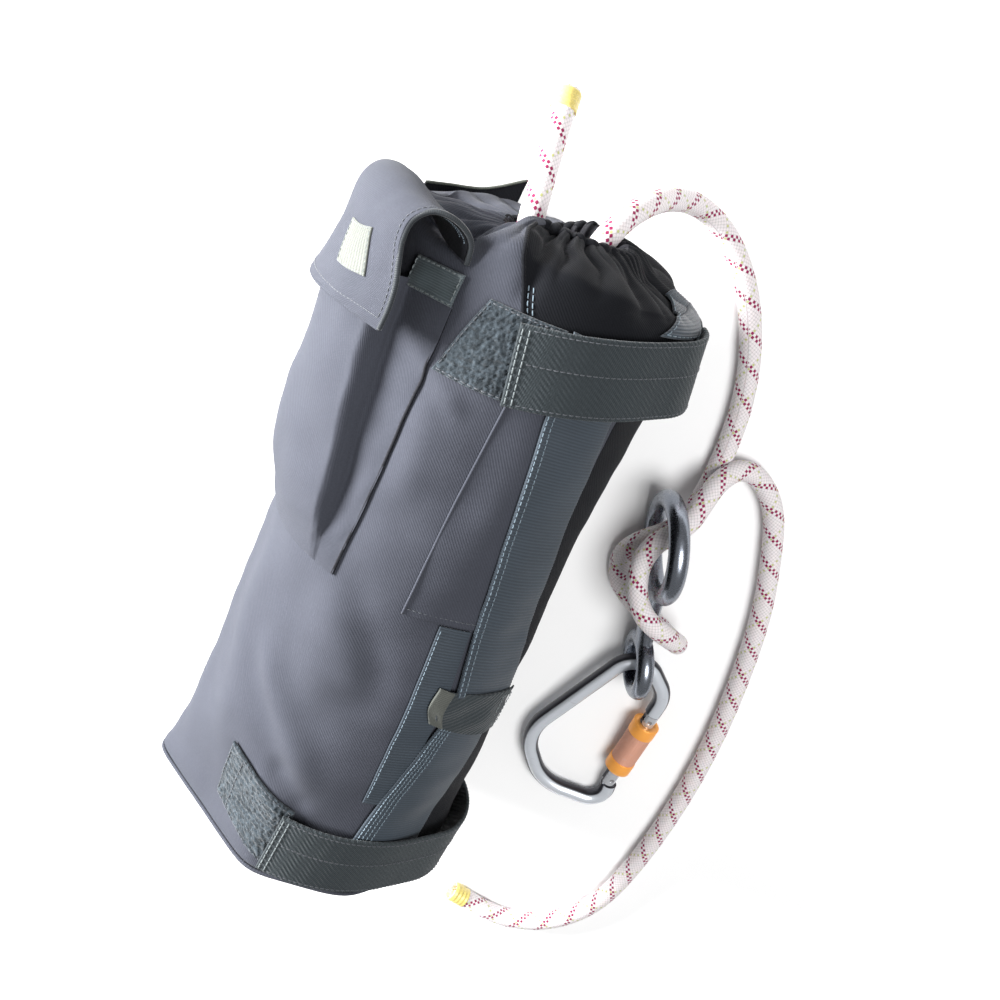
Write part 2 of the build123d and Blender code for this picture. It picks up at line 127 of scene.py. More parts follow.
def ripple(a, b, size, seed, waves=9):
    """Smooth unevenness between about -1 and 1 over a surface, the same on every run."""
    draw = np.random.default_rng(seed)
    total = np.zeros(np.broadcast(a, b).shape)
    for _ in range(waves):
        heading, phase = draw.uniform(0, 2 * np.pi, 2)
        pitch = size * draw.uniform(0.6, 1.7)
        total += np.sin((a * np.cos(heading) + b * np.sin(heading)) * 2 * np.pi / pitch + phase)
    return total / math.sqrt(waves)


def through(t, knots):
    """Catmull-Rom curve through rows of numbers, t from 0 to 1."""
    return weights(t, len(knots)) @ np.asarray(knots, float)


def weights(t, count):
    """How much each of count evenly spaced knots adds at each t, as a matrix."""
    place = np.clip(np.asarray(t, float), 0, 1) * (count - 1)
    span = np.minimum(place.astype(int), count - 2)
    f = place - span
    blend = (-f + 2 * f**2 - f**3, 2 - 5 * f**2 + 3 * f**3, f + 4 * f**2 - 3 * f**3, -(f**2) + f**3)
    knots = np.eye(count)
    knots = np.vstack([2 * knots[0] - knots[1], knots, 2 * knots[-1] - knots[-2]])
    return sum(part[:, None] / 2 * knots[span + k] for k, part in enumerate(blend))


# ---- mesh tools ----
def grid_faces(rows, columns, start=0, closed=False, looped=False):
    """Quads over a grid of points. closed joins its last column to its first, looped its last row."""
    index = start + np.arange(rows * columns).reshape(rows, columns)
    if looped:
        index = np.concatenate([index, index[:1]], 0)
    if closed:
        index = np.concatenate([index, index[:, :1]], 1)
    quads = np.stack([index[:-1, :-1], index[1:, :-1], index[1:, 1:], index[:-1, 1:]], -1)
    return quads.reshape(-1, 4)


def piece(name, points, faces, material, uv=None, weld=False, node=None, body="bag"):
    """A mesh object from points in metres. uv has one pair for each point, in millimetres of cloth."""
    mesh = bpy.data.meshes.new(name)
    mesh.from_pydata(points.tolist(), [], [list(map(int, face)) for face in faces])
    if uv is not None:
        layer = mesh.uv_layers.new(name="cloth")
        corner = np.zeros(len(mesh.loops), np.int32)
        mesh.loops.foreach_get("vertex_index", corner)
        layer.data.foreach_set("uv", np.asarray(uv, np.float32)[corner].ravel())
    mesh.materials.append(material)
    mesh.shade_smooth()
    made = add_object(name, mesh)
    if weld:
        join = made.modifiers.new("weld", "WELD")
        join.merge_threshold = 2e-6
        bpy.context.view_layer.objects.active = made
        bpy.ops.object.modifier_apply(modifier=join.name)
    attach(made, body)
    if node:
        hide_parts(node)
    return made


def thicken(made, thick, offset):
    layer = made.modifiers.new("cloth", "SOLIDIFY")
    layer.thickness = thick * MM
    layer.offset = offset


def crowded(length, step, edge):
    """Places from 0 to length, close together by both ends so that the edges come out round."""
    near = edge * np.array([0, 0.12, 0.35, 0.65, 1.0])
    count = max(2, int(round((length - 2 * edge) / step)))
    middle = np.linspace(edge, length - edge, count + 1)
    return np.concatenate([near, middle[1:-1], length - near[::-1]])


def slab(name, place, size, steps, thick, material, slot, relief=None, node=None, edge=0.7, body="bag"):
    """A closed piece of cloth with round edges. place(a, b, lift) takes millimetres across and along it."""
    a, b = crowded(size[0], steps[0], edge), crowded(size[1], steps[1], edge)
    across, along = np.meshgrid(a, b, indexing="ij")
    from_edge = np.minimum(np.minimum(across, size[0] - across), np.minimum(along, size[1] - along))
    full = np.sqrt(1 - (1 - np.clip(from_edge / edge, 0, 1)) ** 2)
    top = thick * (0.5 + 0.5 * full)
    if relief is not None:
        top = top + relief(across, along) * full
    under = np.minimum(thick * (0.5 - 0.5 * full), top - 0.3 * thick * full)
    sheets = [place(across, along, lift).reshape(-1, 3) for lift in (top, under)]
    upper = grid_faces(len(a), len(b))
    lower = grid_faces(len(a), len(b), len(a) * len(b))[:, ::-1]
    uv = np.stack([across.ravel(), along.ravel()], -1)
    return piece(name, metres(np.concatenate(sheets)), np.concatenate([upper, lower]), material,
                 np.concatenate([uv, uv]), weld=True, node=node, body=body)


def frames_along(path):
    """Unit vectors across a line of points, two at each, that turn with it without twisting."""
    ahead = np.gradient(path, axis=0)
    ahead /= np.linalg.norm(ahead, axis=1)[:, None]
    side = np.cross(ahead[0], (0.0, 0.0, 1.0))
    if np.linalg.norm(side) < 1e-3:
        side = np.cross(ahead[0], (1.0, 0.0, 0.0))
    sides = []
    for forward in ahead:
        side = side - forward * (side @ forward)
        side = side / np.linalg.norm(side)
        sides.append(side)
    sides = np.array(sides)
    return sides, np.cross(ahead, sides)


def run_along(path):
    """How far along a line of points each of them is."""
    return np.concatenate([[0], np.cumsum(np.linalg.norm(np.diff(path, axis=0), axis=1))])


def evenly(path, step):
    path = np.asarray(path, float)
    run = run_along(path)
    at = np.linspace(0, run[-1], max(2, int(round(run[-1] / step)) + 1))
    return np.stack([np.interp(at, run, path[:, k]) for k in range(3)], -1)


def rings(line, angle, reach):
    """A ring of points round each point of a line, reach away from it."""
    side, up = frames_along(line)
    spokes = side[:, None] * np.cos(angle)[..., None] + up[:, None] * np.sin(angle)[..., None]
    return line[:, None] + spokes * reach


def tube(name, path, radius, material, sides=10, relief=None, step=None, node=None, body="bag"):
    """A closed round tube along points in millimetres. relief(angle, along) adds to its radius."""
    line = evenly(path, step) if step else np.asarray(path, float)
    angle = circle(sides)
    angles, runs = np.meshgrid(angle, run_along(line))
    reach = np.full(angles.shape, float(radius))
    if relief is not None:
        reach = reach + relief(angles, runs)
    points = rings(line, angles, reach[..., None])
    faces = [list(face) for face in grid_faces(len(line), sides, closed=True)]
    faces.append(list(range(sides)))
    faces.append([len(line) * sides - 1 - k for k in range(sides)])
    uv = np.stack([angles.ravel() / (2 * np.pi), runs.ravel()], -1)
    return piece(name, metres(points.reshape(-1, 3)), faces, material, uv, node=node, body=body)


# ---- material tools ----
def tinted(colour, factor):
    return tuple(c * factor for c in colour)


class Nodes:
    """Short calls for building a shader."""

    def __init__(self, name):
        self.material = bpy.data.materials.new(name)
        self.material.use_nodes = True
        self.tree = self.material.node_tree
        self.shader = self.tree.nodes["Principled BSDF"]

    def set(self, **values):
        for name, value in values.items():
            self.shader.inputs[name.replace("_", " ")].default_value = value
        return self

    def add(self, kind, settings=(), **inputs):
        node = self.tree.nodes.new(kind)
        for name, value in dict(settings).items():
            setattr(node, name, value)
        for name, value in inputs.items():
            self.into(node.inputs[name.replace("_", " ")], value)
        return node

    def into(self, socket, value):
        if isinstance(value, bpy.types.NodeSocket):
            self.tree.links.new(value, socket)
        else:
            socket.default_value = value

    def calc(self, operation, *values):
        node = self.add("ShaderNodeMath", {"operation": operation})
        for socket, value in zip(node.inputs, values):
            self.into(socket, value)
        return node.outputs[0]

    def total(self, *terms, plus=0.0):
        """The sum of (socket, weight) terms and a constant."""
        for socket, weight in terms:
            plus = self.calc("MULTIPLY_ADD", socket, weight, plus)
        return plus

    def wave(self, turn, *terms):
        return self.calc("SINE", self.calc("MULTIPLY", self.total(*terms), turn))

    def noise(self, scale, detail=2.0, roughness=0.6, stretch=None):
        """Noise over the object at rest, scaled differently along each axis if asked."""
        at = self.add("ShaderNodeTexCoord").outputs["Object"]
        if stretch:
            at = self.add("ShaderNodeMapping", Vector=at, Scale=stretch).outputs[0]
        node = self.add("ShaderNodeTexNoise", Vector=at, Scale=scale, Detail=detail, Roughness=roughness)
        return node.outputs["Fac"]

    def ramp(self, factor, *stops):
        node = self.add("ShaderNodeValToRGB", Fac=factor)
        elements = node.color_ramp.elements
        while len(elements) < len(stops):
            elements.new(0.5)
        for element, (position, colour) in zip(elements, stops):
            element.position = position
            element.color = (*colour, 1)
        return node.outputs["Color"]

    def shades(self, factor, colour, *stops):
        """Darker and lighter shades of a colour, from (position, how light) stops."""
        return self.ramp(factor, *((position, tinted(colour, light)) for position, light in stops))

    def mix(self, factor, first, second, blend="MIX"):
        node = self.add("ShaderNodeMix", {"data_type": "RGBA", "blend_type": blend})
        colours = [socket for socket in node.inputs if socket.type == "RGBA"]
        self.into(node.inputs[0], factor)
        for socket, value in zip(colours, (first, second)):
            self.into(socket, (*value, 1) if isinstance(value, tuple) else value)
        return [socket for socket in node.outputs if socket.type == "RGBA"][0]

    def colour(self, value):
        self.into(self.shader.inputs["Base Color"], value)

    def rough(self, value):
        self.into(self.shader.inputs["Roughness"], value)

    def relief(self, height, distance, strength=1.0):
        node = self.add("ShaderNodeBump", Height=height, Distance=distance, Strength=strength)
        self.into(self.shader.inputs["Normal"], node.outputs["Normal"])

    def cloth_map(self):
        """Across and along the cloth, in millimetres."""
        split = self.add("ShaderNodeSeparateXYZ", Vector=self.add("ShaderNodeUVMap").outputs["UV"])
        return split.outputs["X"], split.outputs["Y"]

def twill(name, colour, pitch=1.25, sheen=0.04, depth=0.1, slant=1.0, gloss=0.16):
    """Woven cloth: slanted ribs crossed by fine yarns, mottled where it has worn and faded."""
    m = Nodes(name)
    a, b = m.cloth_map()
    turn = 2 * math.pi / pitch
    rib = m.wave(turn * 0.72, (a, slant), (b, 1))
    yarn = m.wave(turn * 2.3, (a, -0.35), (b, 1))
    patchy, fine = m.noise(14, 4.0), m.noise(900)
    m.relief(m.total((rib, 0.5), (yarn, 0.22), (fine, 0.9)), depth * MM, 0.9)
    level = m.total((rib, 0.07), (fine, 0.28), (patchy, 0.22), plus=0.22)
    m.colour(m.shades(level, colour, (0.15, 0.62), (0.5, 1), (0.85, 1.5)))
    m.rough(m.total((patchy, 0.12), plus=0.78))
    m.set(Sheen_Weight=sheen, Sheen_Roughness=0.45, Specular_IOR_Level=gloss)
    return m.material


def ribbed(name, colour, pitch=1.7, shine=0.55):
    """Nylon webbing: ribs across it, with fine yarns along them."""
    m = Nodes(name)
    a, b = m.cloth_map()
    rib = m.wave(2 * math.pi / pitch, (b, 1))
    yarn = m.wave(2 * math.pi / 0.55, (a, 1))
    worn, fine = m.noise(30, 3.0), m.noise(1100)
    m.relief(m.total((rib, 0.6), (yarn, 0.18), (fine, 0.4)), 0.1 * MM, 0.8)
    level = m.total((rib, 0.13), (fine, 0.2), (worn, 0.3), plus=0.25)
    m.colour(m.shades(level, colour, (0.15, 0.5), (0.5, 1), (0.9, 1.7)))
    m.rough(m.total((worn, 0.15), plus=shine))
    m.set(Sheen_Weight=0.2, Sheen_Roughness=0.4, Specular_IOR_Level=0.35)
    return m.material


def fuzzy(name, colour):
    """Loop or hook tape: a mat of small loops, mottled light and dark."""
    m = Nodes(name)
    curls, tufts = m.noise(620, 4.0, 0.7), m.noise(210, 3.0, 0.65)
    level = m.total((curls, 0.6), (tufts, 0.4))
    m.colour(m.shades(level, colour, (0.36, 0.3), (0.5, 1), (0.66, 2.1)))
    m.relief(level, 0.9 * MM, 1.0)
    m.set(Roughness=0.95, Sheen_Weight=0.2, Sheen_Roughness=0.5, Specular_IOR_Level=0.15)
    return m.material


def thread(name, colour):
    """Sewing thread, twisted."""
    m = Nodes(name)
    fine = m.noise(1500)
    m.colour(m.shades(fine, colour, (0.3, 0.6), (0.7, 1.3)))
    m.relief(fine, 0.1 * MM, 0.5)
    m.set(Roughness=0.6, Sheen_Weight=0.3, Specular_IOR_Level=0.35)
    return m.material


CARRIERS = 16            # strands that go round the rope each way
ROPE_D = 12.5
PLAIT = math.pi * ROPE_D / CARRIERS


def plaited(name, ground, first, second, carriers=CARRIERS, plait=PLAIT):
    """Braided rope sheath: diamonds where the strands cross, some in a first or a second colour."""
    m = Nodes(name)
    crown, repeat = 0.12, 8.0
    turn, along = m.cloth_map()
    round_it = m.calc("MULTIPLY", turn, float(carriers))
    steps = m.calc("DIVIDE", along, plait)
    right, left = m.calc("ADD", round_it, steps), m.calc("SUBTRACT", round_it, steps)
    right_no, left_no = m.calc("FLOOR", right), m.calc("FLOOR", left)
    on_top = m.calc("PINGPONG", m.calc("ADD", right_no, left_no), 1.0)
    cell = m.calc("MULTIPLY", m.calc("PINGPONG", right, 0.5), m.calc("PINGPONG", left, 0.5))
    lit = m.calc("MULTIPLY", m.calc("MINIMUM", cell, crown), 1 / crown)

    def marked(on, number, offset, wide, least_lit):
        """1 on the few strands in each repeat that have a colour of their own, where they lie on top."""
        strand = m.calc("FLOORED_MODULO", m.calc("ADD", number, offset), repeat)
        shown = m.calc("MULTIPLY", on, m.calc("LESS_THAN", strand, wide))
        return m.calc("MULTIPLY", shown, m.calc("GREATER_THAN", lit, least_lit))

    fibre = m.noise(1400)
    # Painted shade: the sheath is darker down in the grooves between the strands.
    sheath = m.shades(lit, ground, (0.0, 0.72), (0.35, 0.97), (1.0, 1))
    sheath = m.mix(marked(m.calc("SUBTRACT", 1.0, on_top), left_no, 3.0, 0.5, 0.35), sheath, second)
    sheath = m.mix(marked(on_top, right_no, 0.0, 1.5, 0.08), sheath, first)
    fibres = m.ramp(fibre, (0.3, (0.25,) * 3), (0.7, (1.0,) * 3))
    m.colour(m.mix(0.18, sheath, fibres, "MULTIPLY"))
    m.relief(m.total((lit, 0.6), (fibre, 0.5)), 0.25 * MM, 0.7)
    m.set(Roughness=0.7, Sheen_Weight=0.25, Sheen_Roughness=0.4, Specular_IOR_Level=0.3,
          Subsurface_Weight=0.08, Subsurface_Scale=0.002)
    return m.material


def anodised(name, colour, roughness, flank_shade=None, metallic=1.0):
    """Anodised alloy: faint brushing and scratches; if flank_shade is given, painted shade darkens the faces
    that turn sideways.
    """
    m = Nodes(name)
    grain = m.noise(700, 3.0)
    scratch = m.calc("MULTIPLY", m.calc("GREATER_THAN", m.noise(1, stretch=(60, 900, 300)), 0.68), 0.24)
    base = m.mix(scratch, colour, (0.5, 0.5, 0.52))
    if flank_shade is not None:
        # Painted shade: faces that turn sideways take the dark flank_shade colour, faces up or down keep the
        # base colour.
        up = m.add("ShaderNodeSeparateXYZ", Vector=m.add("ShaderNodeNewGeometry").outputs["Normal"])
        level = m.calc("ABSOLUTE", up.outputs["Z"])
        base = m.mix(m.ramp(level, (0.66, (0,) * 3), (0.78, (1,) * 3)), flank_shade, base)
    m.colour(base)
    m.rough(m.total((grain, 0.08), plus=roughness - 0.04))
    m.relief(grain, 0.03 * MM, 0.3)
    m.set(Metallic=metallic)
    return m.material


def moulded(name, colour, roughness=0.45):
    m = Nodes(name)
    grain = m.noise(1200)
    m.colour(m.shades(grain, colour, (0.3, 0.8), (0.7, 1.2)))
    m.relief(grain, 0.05 * MM, 0.4)
    m.set(Roughness=roughness)
    return m.material


def steel(name, colour):
    m = Nodes(name)
    grain = m.noise(1, stretch=(400, 400, 2500))
    m.colour(m.shades(grain, colour, (0.3, 0.85), (0.7, 1)))
    m.rough(m.total((grain, 0.15), plus=0.15))
    m.set(Metallic=1.0)
    return m.material


CLOTH = twill("bag_twill", (0.045, 0.0483, 0.0615))
DARK_CLOTH = twill("dark_twill", (0.006, 0.0065, 0.0085), sheen=0.03, gloss=0.1)
LINING = twill("lining", (0.02, 0.02, 0.024), sheen=0.05)
WEBBING = ribbed("webbing", (0.028, 0.038, 0.050))
ELASTIC = twill("strap_elastic", (0.030, 0.037, 0.041), pitch=2.6, depth=0.3, slant=1.3, sheen=0.15)
LOOP = fuzzy("loop_tape", (0.027, 0.035, 0.042))
HOOK = fuzzy("hook_tape", (0.03, 0.035, 0.036))
BINDING = ribbed("edge_binding", (0.018, 0.022, 0.026), pitch=0.9)
TAB = ribbed("tab_webbing", (0.060, 0.076, 0.083), pitch=1.1)
THREAD = thread("thread_pale", (0.14, 0.19, 0.23))
THREAD_GREY = thread("thread_grey", (0.06, 0.066, 0.078))
THREAD_LIGHT = thread("thread_light", (0.125, 0.145, 0.15))
KEEPER_FOLD = ribbed("keeper_fold", (0.062, 0.066, 0.058), pitch=0.9)
SHEET_EDGE = ribbed("sheet_edge", (0.050, 0.056, 0.046), pitch=0.9)
LABEL = ribbed("label_ribs", (0.130, 0.137, 0.122), pitch=0.7, shine=0.7)
SHEATH = plaited("rope_sheath", (0.80, 0.745, 0.755), (0.27, 0.010, 0.075), (0.50, 0.52, 0.22))
CORD_SHEATH = plaited("cord_sheath", (0.03, 0.03, 0.034), (0.03, 0.03, 0.034), (0.05, 0.05, 0.05), 8, 1.2)
TAPE = moulded("end_tape", (0.60, 0.49, 0.15), 0.3)
BLACK_ALLOY = anodised("black_alloy", (0.24, 0.26, 0.30), 0.27)
# The frame's flank_shade colour is painted shade on its sideways faces.
GREY_ALLOY = anodised("grey_alloy", (0.78, 0.82, 0.88), 0.3, flank_shade=(0.05, 0.05, 0.06), metallic=0.6)
BRIGHT_ALLOY = anodised("bright_alloy", (0.72, 0.74, 0.78), 0.24, metallic=0.7)
ORANGE = anodised("orange_alloy", (1.0, 0.42, 0.08), 0.36, metallic=0.3)
KNURL = anodised("knurled_band", (0.66, 0.34, 0.24), 0.42, metallic=0.3)
STEEL = steel("spring_steel", (0.7, 0.7, 0.72))
LOCK_PLASTIC = moulded("lock_plastic", (0.03, 0.03, 0.035))


# ---- rope ----
# Route points as in the CAD part: from the middle of the bag, heights from the floor.
SHORT_END_ROUTE = [(-12, 118, 80), (-12, 142, 80), (-15, 166, 82), (-18, 185, 79), (-20, 203, 69),
                   (-22, 222, 57), (-23, 240, 44)]
LEAD_ROUTE = [
    (12, 118, 78), (12, 142, 78), (15, 165, 81), (17.5, 186, 79), (25, 200, 66), (37, 210, 48),
    (50, 214, 29), (67, 215, 12), (90, 207, 6.3), (115, 185, 6.3), (134, 155, 6.3), (145, 126, 6.3),
    (150, 99, 6.3), (152, 77, 6.3), (150.5, 61, 11), (145, 48, 19.5), (137.2, 38.5, 21.4), (128, 26.5, 17),
    (124.6, 11, 8), (130, -4, 6.3), (140, -13, 6.3), (153, -19, 6.5), (167, -24.5, 7), (179, -28, 14),
    (179.5, -23, 27), (168, -15.5, 39), (155.7, -9.8, 46.5), (142, -3.6, 48), (132.5, 7, 44),
    (127.7, 22, 39), (130.4, 36.5, 36), (138.2, 45.5, 34.5), (144.5, 56, 32), (147, 68, 27),
    (151, 80, 19.5), (160.5, 90, 11), (176, 90, 6.5), (196, 74, 6.3), (210, 45, 6.3), (224, 10, 6.3),
    (235, -36, 6.3), (243.5, -88, 6.3), (247, -142, 6.3), (245, -198, 6.3), (237, -246, 6.3),
    (214, -275, 6.3), (184, -286, 6.3), (160, -283, 6.7), (137, -277, 6.9),
]


def from_floor(route):
    return [(x, y, z - AXIS[2]) for x, y, z in route]


def spline_line(route):
    """The smooth line of a route as points in millimetres: one NURBS spline with the route's points."""
    data = bpy.data.curves.new("line", "CURVE")
    data.dimensions = "3D"
    data.resolution_u = 12
    spline = data.splines.new("NURBS")
    spline.points.add(len(route) - 1)
    for point, at in zip(spline.points, metres(route)):
        point.co = (*at, 1)
    spline.order_u = 3
    spline.use_endpoint_u = True
    holder = add_object("line", data)
    bpy.context.view_layer.update()
    mesh = bpy.data.meshes.new_from_object(holder.evaluated_get(bpy.context.evaluated_depsgraph_get()))
    line = np.array([vertex.co for vertex in mesh.vertices]) / MM - AXIS
    bpy.data.objects.remove(holder)
    bpy.data.meshes.remove(mesh)
    return line


def plait_relief(angle, along):
    """Height of the plaited strands over the mean radius: each is a small cushion on top of the other."""
    right = angle / (2 * np.pi) * CARRIERS + along / PLAIT
    left = angle / (2 * np.pi) * CARRIERS - along / PLAIT
    cushion = np.abs(np.sin(right * np.pi)) ** 0.7 * np.abs(np.sin(left * np.pi)) ** 0.7
    return 0.34 * cushion - 0.2


def rope(name, line, node):
    return tube(name, line, ROPE_D / 2, SHEATH, 80, plait_relief, 0.55, node)


def taped_end(name, line, length, node):
    """Shrunk tape over the last stretch, wrinkled, drawn in over the cut strands at its end."""
    step = 0.6
    stretch = evenly(line, step)[-int(length / step):]

    def wrinkled(angle, along):
        turns = ripple(angle * 6, along, 9, 31) * 0.12
        closing = -1.6 * smooth(length - 2.0, length, along)
        return 0.45 + turns + closing + 0.12 * np.sin(along * 2.2)

    return tube(name, stretch, ROPE_D / 2, TAPE, 48, wrinkled, node=node)


COIL_RADII = (62.5, 49.5, 36.5, 23.5)
COIL_PITCH = 12.9
COIL_TURN_POINTS = 12
COIL_TOP_Y = 118.0
COIL_END_GAP = 6.4             # from each end of the winding to the middle of its last turn


def coil_route():
    """Turns wound along the bag and back in layers, from the outside in, ending under the neck."""
    turns_long = int((COIL_TOP_Y - COIL_BOTTOM_Y - 2 * COIL_END_GAP) / COIL_PITCH)
    points = []
    for layer, radius in enumerate(COIL_RADII):
        count = turns_long * COIL_TURN_POINTS
        for k in range(count + 1):
            share = k / count
            along = share if layer % 2 == 0 else 1 - share
            angle = 2 * math.pi * (k % COIL_TURN_POINTS) / COIL_TURN_POINTS
            y = COIL_BOTTOM_Y + 6.6 + along * turns_long * COIL_PITCH
            points.append((radius * math.sin(angle), y, radius * math.cos(angle)))
    return points


def make_ropes():
    short_line = spline_line(from_floor(SHORT_END_ROUTE))
    lead_line = spline_line(from_floor(LEAD_ROUTE))
    short_end = rope("rope_short_strand", short_line, "rope_short_end")
    lead = rope("rope_long_strand", lead_line, "rope_lead")
    short_tape = taped_end("short_end_wrap", short_line, 12, "short_end_tape")
    tail_tape = taped_end("tail_end_wrap", lead_line, 13, "tail_end_tape")
    metres(evenly(short_line, 2))
    metres(evenly(lead_line, 2))
    coil_line = spline_line(coil_route())
    coil = tube("rope_stored_coil", coil_line, ROPE_D / 2, SHEATH, 12, step=7, node="stored_rope")
    run_along(coil_line)[-1] * MM
    metres(evenly(coil_line, 4))


make_ropes()


# ---- the bag's surface ----
# Past SHOULDER the second coordinate runs over the gathered neck, and past LIP down inside it.
SHOULDER = 157.0
NECK = [  # s, radius, y, height of the middle
    (157, 78.6, 157, 0), (164, 78.4, 163, 0), (170, 77.4, 169.0, 0.2), (174, 76.4, 172.6, 0.4),
    (179, 74.6, 176.8, 0.8), (186, 71.5, 181.2, 1.4), (196, 62, 184.6, 2.2), (207, 51, 187.2, 3.2),
    (217, 41, 189, 4.2), (225, 33.4, 190, 5), (231, 28.6, 189.4, 5), (236, 27.2, 185, 5),
    (247, 30, 174, 4), (264, 44, 163, 2), (284, 62, 152, 0),
]
LIP = 229.0
BOTTOM = -180.0
NECK_R = NECK[0][1]
CLOTH_R = 78.0           # turns an angle into millimetres of cloth
# Sides of the section at the sewn bottom: the direction each faces and its distance from the axis.
BOTTOM_SIDES = [(-47.2, 67.4), (-118, 76.5), (4, 76.5), (48, 79), (95, 80), (135, 80), (180, 78)]


def side_radius(theta, y):
    right = eased(y, (-180, 81), (-106, 81.5), (-30, 78), (60, 73.5), (110, 73), (157, 78))
    left = eased(y, (-180, 78), (-100, 76.4), (-20, 78.6), (60, 78), (157, 78.6))
    share = 0.5 + 0.5 * np.sin(np.radians(theta))
    return left + (right - left) * share


def bottom_radius(theta):
    total = np.zeros(np.shape(theta))
    for heading, distance in BOTTOM_SIDES:
        facing = np.maximum(np.cos(np.radians(theta - heading)), 1e-3)
        total = total + (facing / distance) ** 18
    return total ** (-1 / 18)


def crease(theta, y, start, end, width, depth):
    """A soft fold along a line on the bag: raised on one side, sunk on the other."""
    x, x0, x1 = (np.radians(np.asarray(t, float)) * CLOTH_R for t in (theta, start[0], end[0]))
    run = np.array([x1 - x0, end[1] - start[1]])
    length = np.linalg.norm(run)
    along = ((x - x0) * run[0] + (y - start[1]) * run[1]) / length
    off = ((x - x0) * run[1] - (y - start[1]) * run[0]) / length
    ends = smooth(-0.3 * length, 0.15 * length, along) * (1 - smooth(0.85 * length, 1.3 * length, along))
    return depth * ends * (np.exp(-(off / width) ** 2) - 0.55 * np.exp(-((off - 1.6 * width) / width) ** 2))


CREASES = [  # start and end as (angle, y), width, height
    ((-42, -60), (-10, -104), 9, 2.0),
    ((-36, 122), (-16, 108), 5, 1.2),
    ((-24, 104), (-20, 60), 9, 1.0),
    ((-20, 4), (2, -40), 9, -1.2),
    ((-66, -30), (-50, -110), 14, 1.2),
    ((-20, -112), (-5, -128), 7, -1.4),
    ((-28, -10), (-16, -60), 12, 0.8),
    ((-95, -60), (-75, -150), 12, 1.6),
    ((-100, -10), (-110, -100), 16, 1.4),
    ((-120, -60), (-135, 20), 14, -1.4),
    ((10, 150), (14, 60), 10, 0.6),
    ((178, 120), (165, -20), 16, -1.2),
    ((120, 60), (110, -90), 14, 1.3),
    ((75, -20), (92, 110), 13, -1.2),
]
NECK_FOLDS = [  # angle, half width, depth below the dome, and where it starts and ends along the neck
    (-50, 15, 13, 172, 206), (-24, 10, -3.5, 176, 214), (-19, 5, 5, 205, 226), (-84, 13, -3, 172, 208),
    (-120, 12, 7, 174, 212), (-160, 14, -3, 172, 206), (-11, 3.5, 2.4, 166, 216), (150, 16, 5, 174, 208),
    (34, 8, 3.2, 176, 206), (72, 26, 9, 180, 214), (103, 10, 4, 176, 206),
]


def folds(theta, s):
    x = np.radians(theta) * CLOTH_R
    height = 1.5 * sum(crease(wrapped(theta, -200), s, *fold) for fold in CREASES)
    height = height + 0.95 * ripple(x, s * 0.8, 75, 5) + 0.22 * ripple(x, s, 24, 6)
    return height * smooth(-182, -168, s) * (1 - smooth(150, 165, s))


def pleats(theta, s):
    """Gathers that deepen towards the drawn mouth: round ridges with sharp valleys between them."""
    wobble = 0.9 * ripple(theta, theta * 0, 70, 8) + 0.35 * ripple(theta, s * 2.0, 60, 9)
    ridge = np.abs(np.sin(np.radians(theta) * 12.5 + wobble)) ** 0.75
    minor = np.abs(np.sin(np.radians(theta) * 28 + 1.6 * wobble)) ** 0.8
    deep = eased(s, (174, 0), (186, 1.6), (205, 3.2), (219, 3.4), (228, 2.6), (240, 2.0), (262, 0))
    light = eased(s, (200, 0), (216, 1.2), (228, 1.1), (244, 0))
    uneven = 0.75 + 0.3 * ripple(theta, s, 55, 12)
    return 1.15 * deep * uneven * (ridge - 0.62) + 0.8 * light * (minor - 0.6)


def neck_shape(s):
    """Radius, y and height of the middle at s, and the way that faces out there, as (radius, y)."""
    at, *columns = through(np.linspace(0, 1, 400), NECK).T
    tilt_r, tilt_y = (np.interp(s, at, np.gradient(column) / np.gradient(at)) for column in columns[:2])
    size = np.hypot(tilt_r, tilt_y)
    return (*(np.interp(s, at, column) for column in columns), tilt_y / size, -tilt_r / size)


NECK_SINK = 13.0


def droop(theta):
    """The gathered neck stands up over the strands of rope and sags behind them, beside the pocket."""
    around = wrapped(theta, -270)
    return smooth(-28, -62, around) * smooth(-215, -160, around)


def on_bag(theta, s, lift):
    """Points on the bag's skin, or lift millimetres outside it."""
    theta, s, lift = matched(theta, s, lift)
    body = side_radius(theta, np.minimum(s, SHOULDER))
    corner = smooth(-92, -176, s)
    body = body + (bottom_radius(theta) - body) * corner**1.6
    radius, y, middle, out_r, out_y = neck_shape(np.maximum(s, SHOULDER))
    over = s > SHOULDER
    ease = smooth(SHOULDER, SHOULDER + 14, s)
    radius = np.where(over, radius + (body - NECK_R) * (1 - ease), body)
    y, middle = np.where(over, y, s), np.where(over, middle, 0)
    out_r, out_y = np.where(over, out_r, 1.0), np.where(over, out_y, 0.0)
    height = folds(theta, s) + np.where(over, pleats(theta, s), 0) + lift
    for angle, half, depth, first, last in NECK_FOLDS:
        zone = smooth(first - 8, first + 6, s) * (1 - smooth(last - 4, last + 12, s))
        height = height - depth * zone * bump(wrapped(theta - angle), 0, half)
    radius = radius + height * out_r
    y = y + height * out_y - NECK_SINK * droop(theta) * smooth(164, 200, s)
    x = radius * np.sin(np.radians(theta))
    z = middle + radius * np.cos(np.radians(theta))
    ground = FLOOR_GAP - AXIS[2] + np.maximum(lift, 0)
    soft = 1.2
    z = ground + soft * np.logaddexp(0, (z - ground) / soft)
    return np.stack([x, y, z], -1)


# ---- bag body ----
# Where the light cloth of the bag meets the dark cloth of the collar, along the neck.
SEAM_S = (SHOULDER, 172, 186, 200, 215)
SEAM_ANGLES = (-8, -13, -18, -23, -26)
COLLAR_END = 176.0


def seam_angle(s):
    return np.interp(s, SEAM_S, SEAM_ANGLES)


